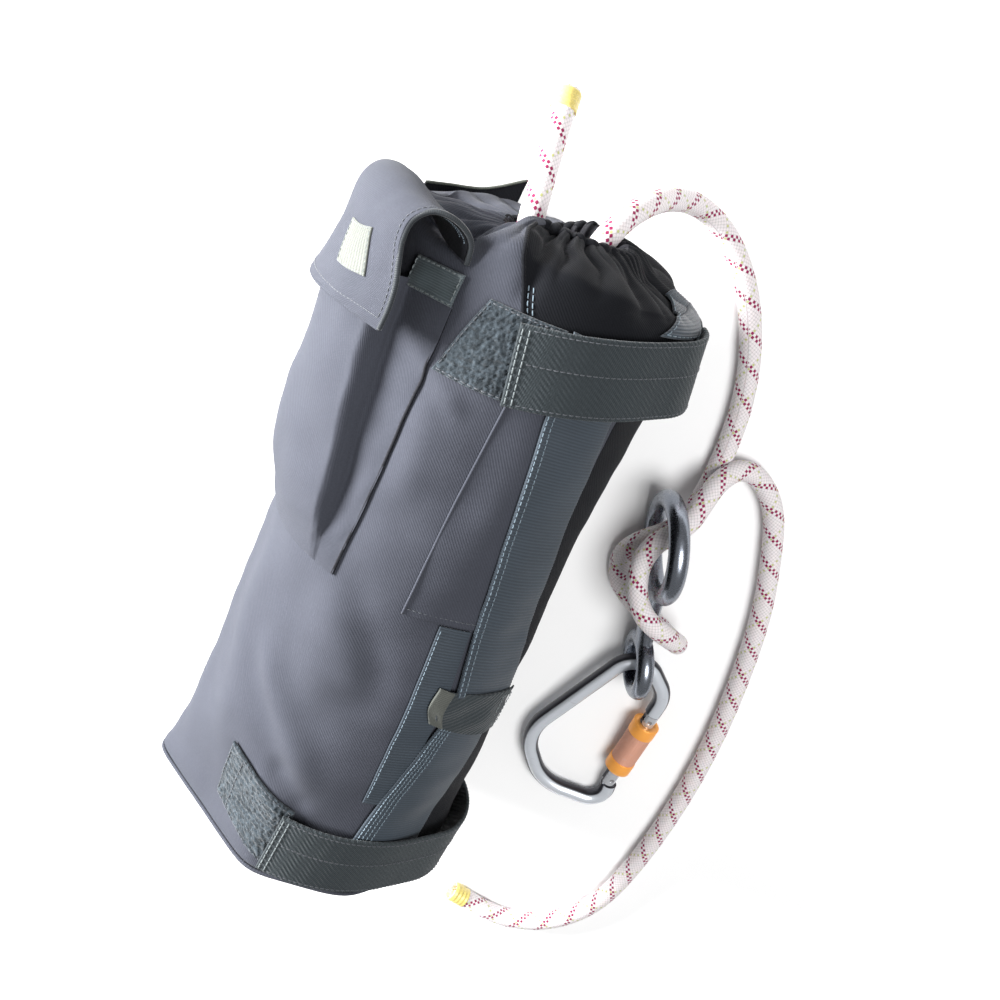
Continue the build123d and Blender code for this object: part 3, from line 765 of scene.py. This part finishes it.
def collar_material(theta, s):
    """0 light cloth, 1 dark cloth, 2 lining."""
    around = wrapped(theta)
    dark = (s > SHOULDER - 1) & (around > seam_angle(s)) & (around < COLLAR_END)
    back = (around > 45) & (around < 168)
    kind = np.where(dark | back, 1, 0)
    return np.where(s > LIP, 2, kind)


def make_body():
    """The light and dark cloth of the bag in one skin, from the bottom seam over the neck and inside."""
    theta = np.linspace(-180, 180, 361)[:-1]
    along = np.concatenate([
        np.linspace(BOTTOM, BOTTOM + 6, 7)[:-1],
        np.linspace(BOTTOM + 6, SHOULDER, 150)[:-1],
        np.linspace(SHOULDER, 240, 100)[:-1],
        np.linspace(240, 282, 20),
    ])
    s, t = np.meshgrid(along, theta, indexing="ij")
    tuck = -3.2 * (1 - smooth(BOTTOM, BOTTOM + 5, s)) ** 2
    points = on_bag(t, s, tuck)
    faces = grid_faces(len(along), len(theta), closed=True)[:, ::-1]
    uv = np.stack([np.radians(t).ravel() * CLOTH_R, s.ravel()], -1)
    body = piece("bag_cloth", metres(points.reshape(-1, 3)), faces, CLOTH, uv)
    body.data.materials.append(DARK_CLOTH)
    body.data.materials.append(LINING)
    kinds = collar_material(t[:-1] + 0.5, (s[:-1] + s[1:]) / 2).ravel()
    body.data.polygons.foreach_set("material_index", kinds.astype(np.int32))
    thicken(body, 1.0, -1)
    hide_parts("bag_sleeve", "collar", "base_panel")


def make_base():
    """The round end panel, sagging outward, with its piped seam."""
    theta = np.linspace(-180, 180, 181)[:-1]
    inward = np.linspace(1, 0.02, 40)
    reach, t = np.meshgrid(inward, theta, indexing="ij")
    edge = on_bag(t, BOTTOM + 0.5, -2.4)
    middle = np.array([0, BOTTOM, -6.0])
    points = middle + (edge - middle) * reach[..., None]
    sag = 4.2 * (1 - reach**2) + 1.3 * ripple(points[..., 0], points[..., 2], 70, 21) * (1 - reach**4)
    points[..., 1] -= sag + 0.5
    faces = [list(face) for face in grid_faces(len(inward), len(theta), closed=True)]
    faces.append([(len(inward) - 1) * len(theta) + k for k in reversed(range(len(theta)))])
    flat = points.reshape(-1, 3)
    base = piece("base_cloth", metres(flat), faces, DARK_CLOTH, flat[:, [0, 2]])
    thicken(base, 1.2, 1)
    ring = on_bag(np.linspace(-180, 180, 241), BOTTOM + 0.6, -0.9)
    tube("base_piping", ring, 1.1, CLOTH)


make_body()
make_base()


# ---- sewing ----
def spread(net, size, a, b):
    """Where a and b millimetres across and along a net of points are: columns across it, rows along it."""
    across = weights(a.ravel() / size[0], net.shape[1])
    along = weights(b.ravel() / size[1], net.shape[0])
    return np.einsum("pr,pc,rck->pk", along, across, net).reshape(*a.shape, 3)


def laid(net, size):
    """place(a, b, lift) on the bag from a net of (angle, y, lift)."""
    net = np.asarray(net, float)

    def place(a, b, lift):
        a, b, lift = matched(a, b, lift)
        spot = spread(net, size, a, b)
        return on_bag(spot[..., 0], spot[..., 1], spot[..., 2] + lift)

    return place


def sewn(name, net, size, *more, **named):
    """A slab of cloth laid on the bag, which returns its place(a, b, lift)."""
    place = laid(net, size)
    slab(name, place, size, *more, **named)
    return place


def shifted(place, across, along, up):
    """The same surface from another start and at another height."""
    return lambda a, b, lift: place(a + across, b + along, lift + up)


def uneven(height, size, seed, waves=9):
    return lambda a, b: height * ripple(a, b, size, seed, waves)


def hooks(height, turn):
    return lambda a, b: height * np.sin(a * turn) * np.sin(b * turn)


def edge_tube(name, place, start, end, count, lift, radius, material, slot, sides=10, body="bag"):
    """A thin tube along a straight line on a surface, from one (a, b) to another."""
    a, b = np.linspace(start, end, count).T
    tube(name, place(a, b, lift), radius, material, sides, body=body)


STITCH, STITCH_GAP, THREAD_R = 2.1, 0.9, 0.26
STITCH_ARCH = np.array([-0.5, 0.6, 1.0, 1.0, 0.6, -0.5])


def stitches(name, place, lines, lift, material, slot, radius=THREAD_R, stitch=STITCH, body="bag"):
    """Rows of thread stitches. Each line is a list of (a, b) corners on a surface."""
    around, sides = len(STITCH_ARCH), 6
    angle = circle(sides)
    points, faces = [], []
    for line in lines:
        run = evenly([(a, b, 0.0) for a, b in line], 0.25)
        length = np.linalg.norm(np.diff(run, axis=0), axis=1).sum()
        for k in range(int(length / (stitch + STITCH_GAP))):
            start = (k + 0.15) * (stitch + STITCH_GAP) / length
            share = np.linspace(start, start + stitch / length, around)
            a, b = (np.interp(share, np.linspace(0, 1, len(run)), run[:, c]) for c in (0, 1))
            path = place(a, b, lift + STITCH_ARCH * radius)
            faces.append(grid_faces(around, sides, len(points) * around * sides, closed=True))
            points.append(rings(path, angle, radius).reshape(-1, 3))
    piece(name, metres(np.concatenate(points)), np.concatenate(faces), material, body=body)


def row(a, b0, b1):
    return [(a, b0), (a, b1)]


def boxed(a0, b0, a1, b1):
    return [(a0, b0), (a1, b0), (a1, b1), (a0, b1), (a0, b0)]


# ---- panels and webbing ----
def make_panels():
    """The dark panel on the back, the panel beside the pocket, and the seam of the dark collar."""
    net = [[(angle, y, 0.2) for angle in (45, 74, 103, 131, 160)] for y in (-178, -95, -10, 75, 156)]
    sewn("back_cloth", net, (156, 334), (3, 4), 0.8, DARK_CLOTH, "dark_fabric", node="back_panel")
    net = [[(angle, y, 0.2) for angle in (edge, 20, 46)]
           for edge, y in ((-2.4, 2), (-2.2, 60), (-1, 122), (-1, 158))]
    side = sewn("side_cloth", net, (64, 156), (2.5, 2.5), 0.7, CLOTH, "bag_fabric", uneven(0.35, 45, 41),
                "side_panel")
    edge_tube("side_piping", side, (0.2, 0), (0.2, 156), 80, 0.55, 0.7, CLOTH, "bag_fabric", 8)
    stitches("side_hem_stitches", side, [[(1, 3.2), (40, 3.2)]], 0.72, THREAD_GREY, "bag_fabric")
    along = np.linspace(140, 214, 80)
    tube("collar_seam", on_bag(seam_angle(along), along, 0.5), 0.9, DARK_CLOTH, 8)
    place = laid([[(-6.8, 157, 0), (-4.4, 157, 0)], [(-11.4, 172, 0), (-9, 172, 0)]], (3, 15))
    rows = [row(0.2, 0, 15), row(2.4, 0, 15)]
    stitches("collar_seam_stitches", place, rows, 0.2, THREAD, "dark_fabric")


RIB_PITCH = 1.7
RIB_STEPS = (2, 0.42)          # fine enough along a strip to show its ribs


def ribs(height):
    return lambda a, b: height * np.sin(2 * np.pi * b / RIB_PITCH)


def make_webbing():
    """Ribbed webbing down the side of the bag, each with its sewn edges."""
    looks = (WEBBING, "webbing")
    net = [[(12.5, 1.4, 0.9), (25, 1.4, 0.9)], [(14.5, -55, 0.6), (28, -53, 0.6)],
           [(15.5, -112, 0.6), (27, -112, 0.6)]]
    narrow = sewn("narrow_strip", net, (23, 114), RIB_STEPS, 1.3, *looks, ribs(0.14), "narrow_webbing")
    stitches("narrow_stitches", narrow, [row(1.6, 2, 112)], 1.42, THREAD, "webbing", 0.2)
    net = [[(7.5, 162, 1.6), (21, 161, 1.6), (35, 160, 1.6)], [(15, 100, 1.4), (29, 99, 1.4), (43, 98, 1.4)],
           [(23, 30, 1.2), (37, 28, 1.2), (52, 26, 1.2)], [(31, -44, 1.6), (48, -48, 1.4), (66, -52, 1.2)]]
    sewn("wide_strip", net, (40, 206), RIB_STEPS, 1.4, *looks, ribs(0.14), "wide_webbing")
    net = [[(7.5, 162, 3.0), (10.6, 162, 3.0)], [(15, 100, 2.8), (18.2, 100, 2.8)],
           [(23, 30, 2.6), (26.2, 30, 2.6)], [(31, -42, 3.0), (34.4, -42, 3.0)]]
    fold = sewn("wide_fold", net, (5.2, 204), (1.3, 0.5), 0.9, *looks, ribs(0.08), edge=0.45)
    stitches("wide_fold_stitches", fold, [row(0.9, 3, 200), row(4.3, 3, 200)], 0.92, THREAD, "webbing", 0.24)
    net = [[(31, -48, 1.6), (44, -55, 1.4), (58, -62, 1.2)], [(25, -86, 1.6), (40, -89, 1.4), (55, -92, 1.2)],
           [(20, -120, 1.6), (36, -122, 1.4), (52, -124, 1.2)],
           [(16, -160, 1.6), (31, -162, 1.4), (47, -164, 1.2)]]
    lower = sewn("lower_strip", net, (38, 118), RIB_STEPS, 1.4, *looks, ribs(0.12), "lower_webbing")
    rows = [row(a, 2, 116) for a in (1.4, 3.2, 5.2, 7.4)]
    stitches("lower_stitches", lower, rows, 1.5, THREAD, "webbing", 0.3, 1.7)
    net = [[(25, -32, 3.2), (45, -36, 3.3), (66, -40, 2.9)], [(24, -44, 3.4), (45, -50, 3.5), (67, -54, 2.9)],
           [(27, -54, 3.2), (45, -62, 3.3), (65, -68, 2.9)]]
    keeper = sewn("keeper_strip", net, (40, 36), (1.5, 1.5), 1.2, ELASTIC, "webbing", uneven(0.5, 22, 51),
                  "webbing_keeper")
    net = [[(22, -31, 2.8), (28, -32.5, 4.1)], [(21, -43, 2.9), (27, -45, 4.3)],
           [(24, -53, 2.8), (30, -55.5, 4.1)]]
    sewn("keeper_turn", net, (9, 24), (0.8, 1.2), 1.3, KEEPER_FOLD, "webbing", uneven(0.3, 12, 52))
    stitches("keeper_stitches", keeper, [boxed(31, 4, 38, 30)], 1.25, THREAD_LIGHT, "webbing")
    net = [[(39, 171, 1.2), (67, 170, 1.2), (96, 168, 1.2)], [(58, 186, 1.2), (74, 185, 1.2), (92, 182, 1.2)],
           [(80, 201, 1.2), (84, 200, 1.2), (88, 198, 1.2)]]
    corner = sewn("collar_webbing", net, (52, 33), (1.2, 0.42), 1.2, *looks, ribs(0.12))
    edges = [row(1.4, 1, 32), [(1, 1.4), (51, 1.4)]]
    stitches("collar_webbing_stitches", corner, edges, 1.25, THREAD, "webbing", 0.24)
    net = [[(9, -158, 1.8), (22, -166, 1.8)], [(10, -172, 1.8), (22, -174, 1.8)]]
    sewn("webbing_end", net, (18, 13), (1.5, 0.42), 1.2, *looks, ribs(0.12))


make_panels()
make_webbing()


# ---- leg straps ----
STRAP_WIDTH, STRAP_THICK = 38.0, 2.0
STRAP_LEAVES = 40.0            # the angle where a strap leaves the bag
STRAPS = {
    "upper": {"y": 140.0, "tilt": 11.0, "start": -6.0, "r_in": 84.8, "straight": 18.0, "bend_r": 38.0,
              "turn": 55.0},
    "lower": {"y": -151.0, "tilt": -3.0, "start": -10.0, "r_in": 84.2, "straight": 25.0, "bend_r": 45.0,
              "turn": 76.0},
}


def strap_line(strap):
    """Middle of a strap in the plane across the bag: over the bag, out past its side and back to its root."""
    middle = strap["r_in"] + STRAP_THICK / 2
    leaves = math.radians(STRAP_LEAVES)
    turn = np.radians(np.linspace(strap["start"], STRAP_LEAVES, 30))
    over = np.stack([middle * np.sin(turn), middle * np.cos(turn)], -1)
    hub = (middle - strap["bend_r"]) * np.array([math.sin(leaves), math.cos(leaves)])
    hub = hub + strap["straight"] * np.array([math.cos(leaves), -math.sin(leaves)])
    turn = np.radians(np.linspace(STRAP_LEAVES, STRAP_LEAVES + strap["turn"], 40))
    bend = hub + strap["bend_r"] * np.stack([np.sin(turn), np.cos(turn)], -1)
    return np.concatenate([over, bend])


def strap_place(strap):
    """place(a, b, lift) with a across the strap's width and b along it from its free end."""
    line = strap_line(strap)
    run = run_along(line)
    ahead = np.gradient(line, run, axis=0)
    tilt = math.radians(strap["tilt"])

    def place(a, b, lift):
        a, b, lift = matched(a, b, lift)
        x, z, ax, az = (np.interp(b, run, column) for column in (*line.T, *ahead.T))
        sag = 0.35 * np.sin(b / 13.0 + a / 30.0) * smooth(20, 60, b)
        lift = lift - STRAP_THICK / 2 + sag
        x, z = x - az * lift, z + ax * lift
        y = a - STRAP_WIDTH / 2
        return np.stack([x * math.cos(tilt) - y * math.sin(tilt),
                         strap["y"] + x * math.sin(tilt) + y * math.cos(tilt), z], -1)

    return place, run[-1]


def make_strap(side, strap):
    place, length = strap_place(strap)
    body = f"{side}_strap"

    def weave(a, b):
        return 0.16 * np.sin((b + 0.9 * a) * 2 * np.pi / 2.6) + 0.12 * ripple(a, b, 30, 61)

    slab(f"{body}_elastic", place, (STRAP_WIDTH, length), (0.55, 0.55), STRAP_THICK, ELASTIC, "strap_elastic",
         weave, f"{side}_leg_strap", body=body)
    rows = [[(1.2, b), (STRAP_WIDTH - 1.2, b)] for b in (1.6, 4.6)]
    stitches(f"{body}_hem_stitches", place, rows, STRAP_THICK + 0.15, THREAD_LIGHT, "strap_elastic", 0.32,
             2.6, body)
    rows = [row(a, 6, length - 4) for a in (2.0, STRAP_WIDTH / 2 + 2, STRAP_WIDTH - 2.0)]
    stitches(f"{body}_long_stitches", place, rows, STRAP_THICK + 0.05, THREAD_GREY, "strap_elastic", 0.22,
             body=body)
    slab(f"{body}_hooks", shifted(place, 2, 1, -1.2), (STRAP_WIDTH - 4, 19), (0.7, 0.7), 1.1, HOOK,
         "hook_tape", hooks(0.12, 6.5), f"{side}_hook_tape", body=body)


def curls(a, b):
    return 0.28 * ripple(a, b, 3.1, 71, 14) + 0.22 * ripple(a, b, 1.7, 72, 14)


LOOP_PATCHES = {  # width, thickness, net, further stitch rows
    "upper": (42, 1.7, [[(-28, 118, 1.0), (-12, 118.5, 1.0), (6, 120, 1.4)],
                        [(-24, 139, 1.0), (-9, 140, 1.0), (6, 141, 1.4)],
                        [(-19.5, 159, 1.0), (-6, 160, 1.0), (6, 161, 1.4)]], []),
    "lower": (48, 1.9, [[(-43, -156, 0.8), (-24, -163, 0.8), (-6, -171, 1.2)],
                        [(-42, -136, 0.8), (-24, -143, 0.8), (-6, -151, 1.2)],
                        [(-40, -115, 0.8), (-23, -123, 0.8), (-6, -131, 1.2)]], [[(11, 2), (11, 38)]]),
}
ROOTS = {"upper": (155.5, 79), "lower": (-155.2, 97)}       # middle y and first angle


def make_straps():
    for side, strap in STRAPS.items():
        make_strap(side, strap)
    for side, (width, thick, net, more_rows) in LOOP_PATCHES.items():
        patch = sewn(f"{side}_loops", net, (width, 40), (0.6, 0.6), thick, LOOP, "loop_tape", curls,
                     f"{side}_loop_patch")
        lines = [boxed(1.2, 1.4, width - 2, 38.6)] + more_rows
        stitches(f"{side}_loop_stitches", patch, lines, thick + 0.05, THREAD_GREY, "loop_tape")
    for side, (y, start) in ROOTS.items():
        net = [[(angle, y + half, 1.6) for angle in (start, start + 19)] for half in (-19, 19)]
        root = sewn(f"{side}_root_elastic", net, (27, STRAP_WIDTH), (0.8, 0.8), 1.4, ELASTIC, "strap_elastic",
                    node=f"{side}_strap_anchor")
        lines = [boxed(3, 3, 24, 35), [(3, 3), (24, 35)], [(24, 3), (3, 35)]]
        stitches(f"{side}_root_stitches", root, lines, 1.45, THREAD_GREY, "strap_elastic")


make_straps()


# ---- front pocket and flap ----
POCKET_ROWS = [  # y, height of the front, angle of the crease, angle of the seam
    (3, 0.9, -40, -30), (14, 5, -41, -30), (30, 11, -42, -30), (55, 15, -44, -30), (85, 16.5, -46.5, -30),
    (118, 17, -49, -30), (147, 17, -50, -30),
]


def pocket_net():
    rows = []
    for y, tall, fold, seam in POCKET_ROWS:
        lifts = [
            (-124, 0.8), (-117, 0.5 + 0.7 * tall), (-104, tall), (-90, 1.06 * tall), (-74, 1.05 * tall),
            (-61, 0.98 * tall), (fold - 4, 0.86 * tall), (fold, 0.7 * tall), (fold + 1.4, 0.36 * tall),
            (fold + 2.4, 0.7 + 0.02 * tall), (seam - 4, 0.6), (seam, 0.4),
        ]
        rows.append([(angle, y, lift) for angle, lift in lifts])
    return rows


def make_pocket():
    def creased(a, b):
        lit_edge = 0.8 * bump(a, 92, 7) * smooth(20, 60, b)
        soft = 0.9 * ripple(a, b, 60, 81) + 0.3 * ripple(a, b, 25, 82)
        return soft * smooth(2, 34, b) + lit_edge

    front = sewn("pocket_cloth", pocket_net(), (150, 145), (1.1, 1.6), 1.0, CLOTH, "bag_fabric", creased,
                 "front_pocket")
    for name, a, lift, material in (("pocket_seam", 149.2, 0.5, DARK_CLOTH),
                                    ("pocket_seam_shadow", 147.6, 0.62, LINING)):
        edge_tube(name, front, (a, 0.5), (a, 144), 90, lift, 0.5, material, "bag_fabric", 7)
    net = [[(-110, y, 18.2), (-78, y, 19.4), (-52, y, 16.2)] for y in (124, 142)]
    sewn("pocket_loops", net, (96, 18), (0.9, 0.9), 1.0, LOOP, "loop_tape", uneven(0.2, 2.6, 73, 12),
         "pocket_loop_tape")


FLAP_WIDTH, FLAP_LENGTH = 150, 108
# Rows from the flap's root, in the neck's folds, over the pocket's mouth to the free edge: radius and y.
FLAP_LEFT = [(66, 168), (79, 179), (85, 182), (91, 180.5), (95, 175.5), (97.5, 167.5), (98, 158), (98, 149),
             (99, 139), (101, 128), (103.5, 118)]
FLAP_FRONT = [(68, 170), (80, 182), (86, 184.5), (93, 183), (98.5, 178), (101.5, 170), (102.5, 160),
              (103, 151), (103, 142), (102.5, 133), (102, 124.5)]
FLAP_SIDE = [(-117, 0.60), (-104, 0.80), (-90, 0.95)]     # angle, and how tall the flap is there
# The right edge stands off the bag in an arch: angle, radius and y.
FLAP_ARCH = [(-31.7, 79.4, 165), (-32.0, 82, 174.4), (-34.0, 87, 179.7), (-37.1, 93, 182.3),
             (-40.5, 98, 181.2), (-42.7, 102, 175.2), (-42.3, 104, 166.7), (-40.6, 104.5, 158.1),
             (-39.1, 104, 149.0), (-39.2, 102, 138.2), (-40.3, 100, 126.6)]


def flap_net():
    rows = []
    for left, front, (arch_angle, arch_r, arch_y) in zip(FLAP_LEFT, FLAP_FRONT, FLAP_ARCH):
        edge_y = FLAP_LEFT[-1][1]
        line = [(angle, left[0], edge_y + (left[1] - edge_y) * tall) for angle, tall in FLAP_SIDE]
        line.append((-75, (left[0] + front[0]) / 2, (left[1] + front[1]) / 2))
        line.append((-60, *front))
        near = [0.25 * f + 0.75 * a for f, a in zip(front, (arch_r, arch_y))]
        line.append((arch_angle - 8, *near))
        line.append((arch_angle, arch_r, arch_y))
        rows.append(line)
    return rows


def make_flap():
    net = np.asarray(flap_net(), float)
    size = (FLAP_WIDTH, FLAP_LENGTH)
    step = 1.5

    def skin(a, b):
        spot = spread(net, size, a, b)
        return about_axis(np.radians(spot[..., 0]), spot[..., 1], spot[..., 2])

    def place(a, b, lift):
        a, b, lift = matched(a, b, lift)
        across = skin(a + step, b) - skin(a - step, b)
        along = skin(a, b + step) - skin(a, b - step)
        outward = np.cross(along, across)
        outward = outward / np.linalg.norm(outward, axis=-1, keepdims=True)
        return skin(a, b) + outward * lift[..., None]

    def soft(a, b):
        return 0.55 * ripple(a, b, 60, 91) + 0.12 * ripple(a, b, 22, 92)

    def over_cloth(a, b, lift):
        return place(a, b, lift + soft(a, b))

    def label_place(a, b, lift):
        return over_cloth(92.3 + a + 0.1 * b, 64.9 + b + 0.03 * a, lift + 1.5)

    rides = {"body": "pocket_flap"}
    slab("flap_cloth", place, size, (1.2, 1.2), 1.5, CLOTH, "bag_fabric", soft, "pocket_flap", **rides)
    # Painted shade: a thin near-black sheet just under the flap darkens its underside.
    slab("flap_underside_shade", shifted(place, 2, 2, -1.2), (FLAP_WIDTH - 4, FLAP_LENGTH - 4), (2, 2), 0.5,
         DARK_CLOTH, "dark_fabric", **rides)
    side = FLAP_WIDTH - 0.5
    edge_tube("flap_binding", place, (side, 0.5), (side, FLAP_LENGTH - 0.5), 110, 0.6, 1.25, BINDING,
              "dark_fabric", 12, **rides)
    end = FLAP_LENGTH - 0.4
    edge_tube("flap_hem", place, (0.5, end), (side, end), 140, 0.7, 0.95, CLOTH, "bag_fabric", **rides)
    side, end = FLAP_WIDTH - 5, FLAP_LENGTH - 5
    hems = [[(4, end), (side, end)], row(side, 22, end)]
    stitches("flap_stitches", over_cloth, hems, 1.55, THREAD_GREY, "bag_fabric", 0.18, **rides)
    inner = [row(FLAP_WIDTH - 7, 10, 70), row(FLAP_WIDTH - 14, 12, 70)]
    stitches("flap_inner_stitches", place, inner, -1.3, THREAD, "bag_fabric", 0.22, **rides)
    slab("flap_hooks", shifted(place, 20, 84, -1.9), (96, 18), (0.9, 0.9), 1.0, HOOK, "hook_tape",
         hooks(-0.1, 6.0), "flap_hook_tape", **rides)
    slab("label_ribs", label_place, (25, 24), (0.22, 1.5), 0.9, LABEL, "label",
         lambda a, b: 0.16 * np.sin(2 * np.pi * a / 2.2), "label_patch", **rides)
    stitches("label_stitches", label_place, [boxed(0.9, 0.9, 24.1, 23.1)], 0.95, THREAD_LIGHT, "label", 0.16,
             **rides)


def make_tab():
    net = [[(-50, 143, 1.6), (-40, 145, 1.7), (-30, 146.5, 1.7)],
           [(-50, 158, 1.2), (-40, 160.5, 1.2), (-30, 162.5, 1.2)]]
    tab = sewn("tab_tape", net, (28, 15), (0.7, 0.7), 1.4, TAB, "webbing", uneven(0.25, 14, 95), "pocket_tab")
    stitches("tab_stitches", tab, [boxed(0.9, 0.9, 27, 14.1)], 1.45, THREAD_LIGHT, "webbing", 0.3)


make_pocket()
make_flap()
make_tab()


# ---- neck ----
MOUTH_Z, CASING_RING, CASING_R, RIM_MIDDLE_Y = 5.0, 30.2, 3.6, 187.5


def ring_faces(rows, columns):
    """Quads over a closed ring, facing out."""
    return grid_faces(rows, columns, closed=True, looped=True)[:, [0, 3, 2, 1]]


def make_rim():
    """The gathered casing round the mouth, bunched into beads by the drawcord inside it."""
    turn, small = np.meshgrid(circle(540), circle(32), indexing="ij")
    wobble = 0.8 * ripple(np.degrees(turn) % 360, 0 * turn, 80, 101)
    bead = np.abs(np.sin(turn * 17 + wobble)) ** 0.6
    radius = CASING_R * (0.62 + 0.42 * bead) + 0.25 * ripple(turn * 25, small * 5, 6, 102)
    ring = CASING_RING + 1.2 * np.sin(3 * turn + 0.5)
    y = RIM_MIDDLE_Y + radius * np.sin(small) + 1.4 * np.sin(2 * turn + 1)
    y = y - NECK_SINK * droop(np.degrees(turn))
    points = about_axis(turn, ring + radius * np.cos(small), y, MOUTH_Z).reshape(-1, 3)
    uv = np.stack([turn.ravel() * CASING_RING, small.ravel() * CASING_R], -1)
    piece("rim_gathers", metres(points), ring_faces(*turn.shape), DARK_CLOTH, uv,
          node="rim_casing")


def make_belt_flap():
    """A thin sheet that stands out behind the neck, with a pale bound edge."""
    net = np.array([
        [(-80, 92, -30), (-64, 92, -52), (-43, 92, -69), (-20, 92, -75)],
        [(-79, 118, -38), (-63, 118, -57), (-42, 120, -69), (-20, 122, -74)],
        [(-76, 144, -49), (-62, 146, -62), (-42, 150, -70), (-20, 156, -73)],
        [(-68.5, 168, -57), (-56.8, 170.2, -65), (-38, 175.6, -69.5), (-19.4, 188.3, -71)],
    ], float)
    size = (76, 84)

    def place(a, b, lift):
        a, b, lift = matched(a, b, lift)
        spot = spread(net, size, a, b)
        out = spot * np.array([1, 0, 1])
        out = out / np.linalg.norm(out, axis=-1)[..., None]
        return spot + out * lift[..., None]

    made = slab("belt_sheet", place, size, (1.5, 1.5), 1.1, DARK_CLOTH, "dark_fabric", uneven(0.4, 40, 111),
                "belt_flap")
    start, end = (0.6, size[1] - 0.4), (size[0] - 0.6, size[1] - 0.4)
    edge_tube("belt_sheet_edge", place, start, end, 120, 0.6, 0.8, SHEET_EDGE, "webbing")


def make_drawcord():
    around = np.linspace(0, 2 * np.pi, 181)
    y = RIM_MIDDLE_Y - NECK_SINK * droop(np.degrees(around))
    ring = about_axis(around, CASING_RING, y, MOUTH_Z)
    tube("drawcord_ring", ring, 1.4, CORD_SHEATH, 12, node="drawcord")


make_rim()
make_belt_flap()
make_drawcord()


# ---- hardware: CAD pieces that keep their shape ----
FINISHES = {
    "drawcord_tails": CORD_SHEATH, "cord_lock_barrel": LOCK_PLASTIC, "cord_lock_plunger": LOCK_PLASTIC,
    "figure8_descender": BLACK_ALLOY, "carabiner_frame": GREY_ALLOY, "carabiner_gate": BRIGHT_ALLOY,
}
STEEL_NODES = ("cord_lock_spring", "gate_hinge_pin", "gate_nose_pin", "gate_spring", "gate_plunger",
               "sleeve_spring")


def finish_hardware():
    for name, material in (FINISHES | dict.fromkeys(STEEL_NODES, STEEL)).items():
        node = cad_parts[name]
        node.data.materials.clear()
        node.data.materials.append(material)


finish_hardware()


# ---- the carabiner's sleeve ----
CARABINER_LOW_Y, CARABINER_LOW_Z, CARABINER_TILT = -166.0, 5.7, math.radians(5.6)
SLEEVE_X, SLEEVE_FROM, SLEEVE_LONG, SLEEVE_BAND = 194.0, -132.0, 42.0, 9.0
SLEEVE_R, GATE_R = 8.9, 4.8


def in_carabiner(x, y, z):
    """From the carabiner's flat drawing to where it lies, tilted up by the descender's eye."""
    run = y - CARABINER_LOW_Y
    return np.stack([
        x + 0 * y,
        CARABINER_LOW_Y + run * math.cos(CARABINER_TILT) - z * math.sin(CARABINER_TILT),
        CARABINER_LOW_Z + run * math.sin(CARABINER_TILT) + z * math.cos(CARABINER_TILT) - AXIS[2],
    ], -1)


def turned_ring(name, profile, material, knurl=0.0, steps=180, node=None):
    """A ring turned round the gate, from (place along it, radius) pairs, knurled if asked."""
    profile = np.asarray(profile, float)
    along, turn = np.meshgrid(profile[:, 0], circle(steps), indexing="ij")
    radius = np.repeat(profile[:, 1][:, None], steps, 1)
    if knurl:
        ridges, ridge_long = 40, 1.4
        round_it, down_it = turn * ridges / (2 * np.pi), along / ridge_long
        cross = np.abs(np.sin(np.pi * (round_it + down_it))) * np.abs(np.sin(np.pi * (round_it - down_it)))
        outer = (profile[:, 1] > SLEEVE_R - 0.9)[:, None]
        radius = radius - np.where(outer, knurl * (1 - cross), 0)
    x, z = SLEEVE_X + radius * np.cos(turn), radius * np.sin(turn)
    points = in_carabiner(x, SLEEVE_FROM + along, z).reshape(-1, 3)
    piece(name, metres(points), ring_faces(len(profile), steps), material, node=node,
          body="sleeve")


def band_profile(start, end, inner):
    edge, turns = 0.5, (0, 0.5, 1.0, 1.57)
    rise = [(edge * (1 - math.cos(t)), SLEEVE_R - edge * (1 - math.sin(t))) for t in turns]
    corner = [(start + step, radius) for step, radius in rise]
    other = [(end - step, radius) for step, radius in reversed(rise)]
    return [(start, inner)] + corner + other + [(end, inner)]


def make_sleeve():
    inner, chamber_r, overlap = GATE_R + 0.1, 7.2, 0.2
    top = SLEEVE_LONG - SLEEVE_BAND
    turned_ring("sleeve_low_band", band_profile(0, SLEEVE_BAND, inner), ORANGE, node="locking_sleeve")
    turned_ring("sleeve_high_band", band_profile(top, SLEEVE_LONG, inner), ORANGE)
    grip = [(y, SLEEVE_R - 0.35) for y in np.linspace(SLEEVE_BAND - overlap, top + overlap, 90)]
    chamber = [(top + overlap, chamber_r), (SLEEVE_BAND - overlap, chamber_r)]
    turned_ring("sleeve_knurl", grip + chamber, KNURL, knurl=0.35, steps=320)


make_sleeve()


# ---- floor and light ----
def area_light(name, place, target, size, energy):
    data = bpy.data.lights.new(name, "AREA")
    data.shape = "DISK"
    data.size = size
    data.energy = energy
    light = add_object(name, data)
    light.location = place
    light.rotation_euler = (Vector(target) - Vector(place)).to_track_quat("-Z", "Y").to_euler()


def make_stage():
    mesh = bpy.data.meshes.new("floor")
    half = 6.0
    corners = [(-half, -half, 0), (half, -half, 0), (half, half, 0), (-half, half, 0)]
    mesh.from_pydata(corners, [], [(0, 1, 2, 3)])
    paint = Nodes("floor")
    paint.set(Base_Color=(0.9, 0.9, 0.9, 1), Roughness=0.9)
    mesh.materials.append(paint.material)
    floor = add_object("floor", mesh)
    area_light("key", (-1.7, 0.25, 0.47), (0, 0, 0.05), 0.8, 178)
    area_light("top", (0.55, 0.35, 1.8), (0.15, 0, 0), 1.1, 32)
    world = bpy.data.worlds.new("studio")
    world.use_nodes = True
    world.node_tree.nodes["Background"].inputs["Color"].default_value = (1, 1, 1, 1)
    world.node_tree.nodes["Background"].inputs["Strength"].default_value = 0.33
    bpy.context.scene.world = world
    bpy.context.scene.view_settings.view_transform = "Standard"


make_stage()
